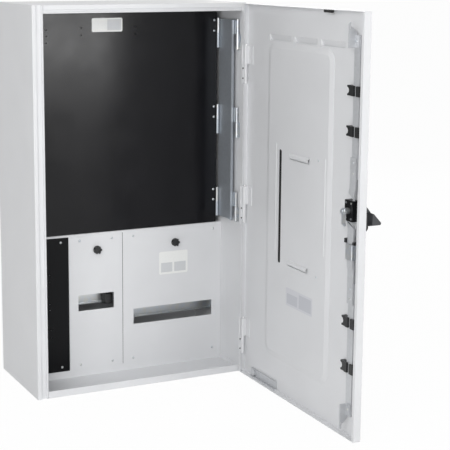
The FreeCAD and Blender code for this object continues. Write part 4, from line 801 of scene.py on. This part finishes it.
class CABINET_OT_seams(bpy.types.Operator):
    """A black strip of painted shade in the covers' seam, and the pocket's pressed edges on the
    door
    """
    bl_idname = "cabinet.seams"
    bl_label = "Seams and beads"

    def execute(self, context):
        left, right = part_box("escutcheon_left"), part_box("escutcheon_right")
        low, high = left[1].x, right[0].x
        wide = (high - low) / MM * SEAM_SHADE_SHARE
        corner = Vector(((low + high) / 2 - wide / 2 * MM, right[0].y + SEAM_SHADE_SUNK * MM,
                         right[0].z))
        # A black rubber strip in the seam: painted shade that darkens the gap between the covers.
        strip = field_plate("middle_seam_foam", corner, RIGHT, UP, FRONT,
                            (wide, (right[1].z - right[0].z) / MM), [], SEAM_SHADE_THICK, ("rubber",))
        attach(strip, "cabinet")
        turn = door_turn()
        out = turn.to_3x3() @ BACK
        for name, (x, low, high) in BEADS.items():
            bead = half_round(name, turn @ cabinet_point(x, BEAD_FOOT, low),
                              turn @ cabinet_point(x, BEAD_FOOT, high), out, BEAD_WIDE * MM,
                              BEAD_PROUD * MM, "coat")
            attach(bead, "door")
        return {"FINISHED"}


def area_lamp(name, place, aim, size, power):
    """A soft rectangular lamp that the camera doesn't see."""
    data = bpy.data.lights.new(name, "AREA")
    data.shape, data.size, data.size_y, data.energy = "RECTANGLE", size[0], size[1], power
    lamp = bpy.data.objects.new(name, data)
    lamp.location = place
    lamp.rotation_mode = "QUATERNION"
    lamp.rotation_quaternion = (Vector(aim) - Vector(place)).to_track_quat("-Z", "Y")
    lamp.visible_camera = False
    bpy.context.scene.collection.objects.link(lamp)
    return lamp


def seen_directly(tree):
    """1 for rays from the camera, a mirror or glass, 0 for the light that falls on things."""
    path = add_node(tree, "ShaderNodeLightPath")
    either = add_node(tree, "ShaderNodeMath", {"operation": "MAXIMUM"},
                      {0: path.outputs["Is Camera Ray"], 1: path.outputs["Is Glossy Ray"]})
    return add_node(tree, "ShaderNodeMath", {"operation": "MAXIMUM"},
                    {0: either.outputs[0], 1: path.outputs["Is Transmission Ray"]}).outputs[0]


class CABINET_OT_stage(bpy.types.Operator):
    """White floor, soft lamps and the camera at the photograph's angle"""
    bl_idname = "cabinet.stage"
    bl_label = "Stage"

    def execute(self, context):
        stage = context.scene.cabinet_stage
        self.floor(context, stage)
        self.world(context, stage)
        for name, (place, aim, size) in LAMPS.items():
            area_lamp(name + "_lamp", place, aim, size, getattr(stage, name))
        self.camera(context, stage)
        return {"FINISHED"}

    def floor(self, context, stage):
        """A round floor that ends beyond the horizon and keeps the cabinet's shadow."""
        mesh = bpy.data.meshes.new("studio_floor")
        low = CAD_BOX[0].z - FLOOR_GAP * MM
        ring = [(FLOOR_RADIUS * math.cos(a), FLOOR_RADIUS * math.sin(a), low)
                for a in (i * math.tau / FLOOR_SIDES for i in range(FLOOR_SIDES))]
        mesh.from_pydata(ring, [], [list(range(FLOOR_SIDES))])
        material, tree, output, place = new_material("white_studio_paper")
        cloud = spread(tree, grain(tree, place, size_mm=900.0), 0.0, 1.0)
        matt = add_node(tree, "ShaderNodeBsdfDiffuse", None,
                        {"Color": tones(tree, cloud, shaded(stage.floor, 0.99), stage.floor)})
        glow = add_node(tree, "ShaderNodeEmission", None,
                        {"Color": (1.0, 1.0, 1.0, 1.0), "Strength": 1.0})
        share = add_node(tree, "ShaderNodeMath", {"operation": "MULTIPLY"},
                         {0: seen_directly(tree), 1: stage.glow}).outputs[0]
        dim = add_node(tree, "ShaderNodeMixShader", None, {"Fac": share})
        tree.links.new(matt.outputs[0], dim.inputs[1])
        tree.links.new(glow.outputs[0], dim.inputs[2])
        tree.links.new(dim.outputs[0], output.inputs["Surface"])
        mesh.materials.append(material)
        floor = bpy.data.objects.new("studio_floor", mesh)
        context.scene.collection.objects.link(floor)

    def world(self, context, stage):
        """White where it is seen, and an even, softer light where it falls on the cabinet."""
        world = bpy.data.worlds.new("studio_world")
        context.scene.world = world
        world.use_nodes = True
        tree = world.node_tree
        tree.nodes.clear()
        strength = add_node(tree, "ShaderNodeMapRange", None,
                            {"Value": seen_directly(tree), "To Min": stage.ambient, "To Max": 1.0})
        glow = add_node(tree, "ShaderNodeBackground", None,
                        {"Color": (1.0, 1.0, 1.0, 1.0), "Strength": strength.outputs["Result"]})
        add_node(tree, "ShaderNodeOutputWorld", None, {"Surface": glow.outputs[0]})

    def camera(self, context, stage):
        """The photograph's viewpoint."""
        data = bpy.data.cameras.new("camera")
        data.lens, data.sensor_width = stage.lens, SENSOR_WIDTH
        data.shift_x, data.shift_y = CAMERA_SHIFT
        data.clip_start, data.clip_end = 0.1, 200.0
        camera = bpy.data.objects.new("camera", data)
        yaw, pitch, roll = (math.radians(a) for a in CAMERA_ANGLES)
        ahead = Vector((math.sin(yaw) * math.cos(pitch), math.cos(yaw) * math.cos(pitch),
                        math.sin(pitch)))
        level = Vector((math.cos(yaw), -math.sin(yaw), 0.0))
        above = level.cross(ahead)
        right = level * math.cos(roll) + above * math.sin(roll)
        top = above * math.cos(roll) - level * math.sin(roll)
        turn = Matrix((right, top, -ahead)).transposed().to_4x4()
        camera.matrix_world = Matrix.Translation(CAMERA_PLACE) @ turn
        context.scene.collection.objects.link(camera)
        context.scene.camera = camera
        context.scene.view_settings.view_transform = "Standard"


class CABINET_PT_sidebar(bpy.types.Panel):
    """The cabinet's operators and settings"""
    bl_idname = "CABINET_PT_sidebar"
    bl_label = "Meter cabinet"
    bl_space_type = "VIEW_3D"
    bl_region_type = "UI"
    bl_category = "Meter cabinet"

    def draw(self, context):
        for step in STEPS:
            self.layout.operator(step)
        for group in GROUPS:
            settings = getattr(context.scene, group)
            box = self.layout.box()
            for name in settings.__annotations__:
                box.prop(settings, name)


STEPS = ("cabinet.finishes", "cabinet.screws", "cabinet.rivets", "cabinet.labels",
         "cabinet.seams", "cabinet.stage")
GROUPS = {"cabinet_finishes": CabinetFinishes, "cabinet_fittings": CabinetFittings,
          "cabinet_stage": CabinetStage}
CLASSES = (CabinetFinishes, CabinetFittings, CabinetStage, CABINET_OT_finishes,
           CABINET_OT_screws, CABINET_OT_rivets, CABINET_OT_labels, CABINET_OT_seams,
           CABINET_OT_stage, CABINET_PT_sidebar)


def register():
    """Makes the classes known and hangs the settings on the scene."""
    for cls in CLASSES:
        bpy.utils.register_class(cls)
    for name, group in GROUPS.items():
        setattr(bpy.types.Scene, name, PointerProperty(type=group))


def unregister():
    """Takes the settings and the classes away again."""
    for name in GROUPS:
        delattr(bpy.types.Scene, name)
    for cls in reversed(CLASSES):
        bpy.utils.unregister_class(cls)


def main():
    """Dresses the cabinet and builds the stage."""
    register()
    bpy.ops.cabinet.finishes()
    bpy.ops.cabinet.screws()
    bpy.ops.cabinet.rivets()
    bpy.ops.cabinet.labels()
    bpy.ops.cabinet.seams()
    bpy.ops.cabinet.stage()


if __name__ == "__main__":
    main()
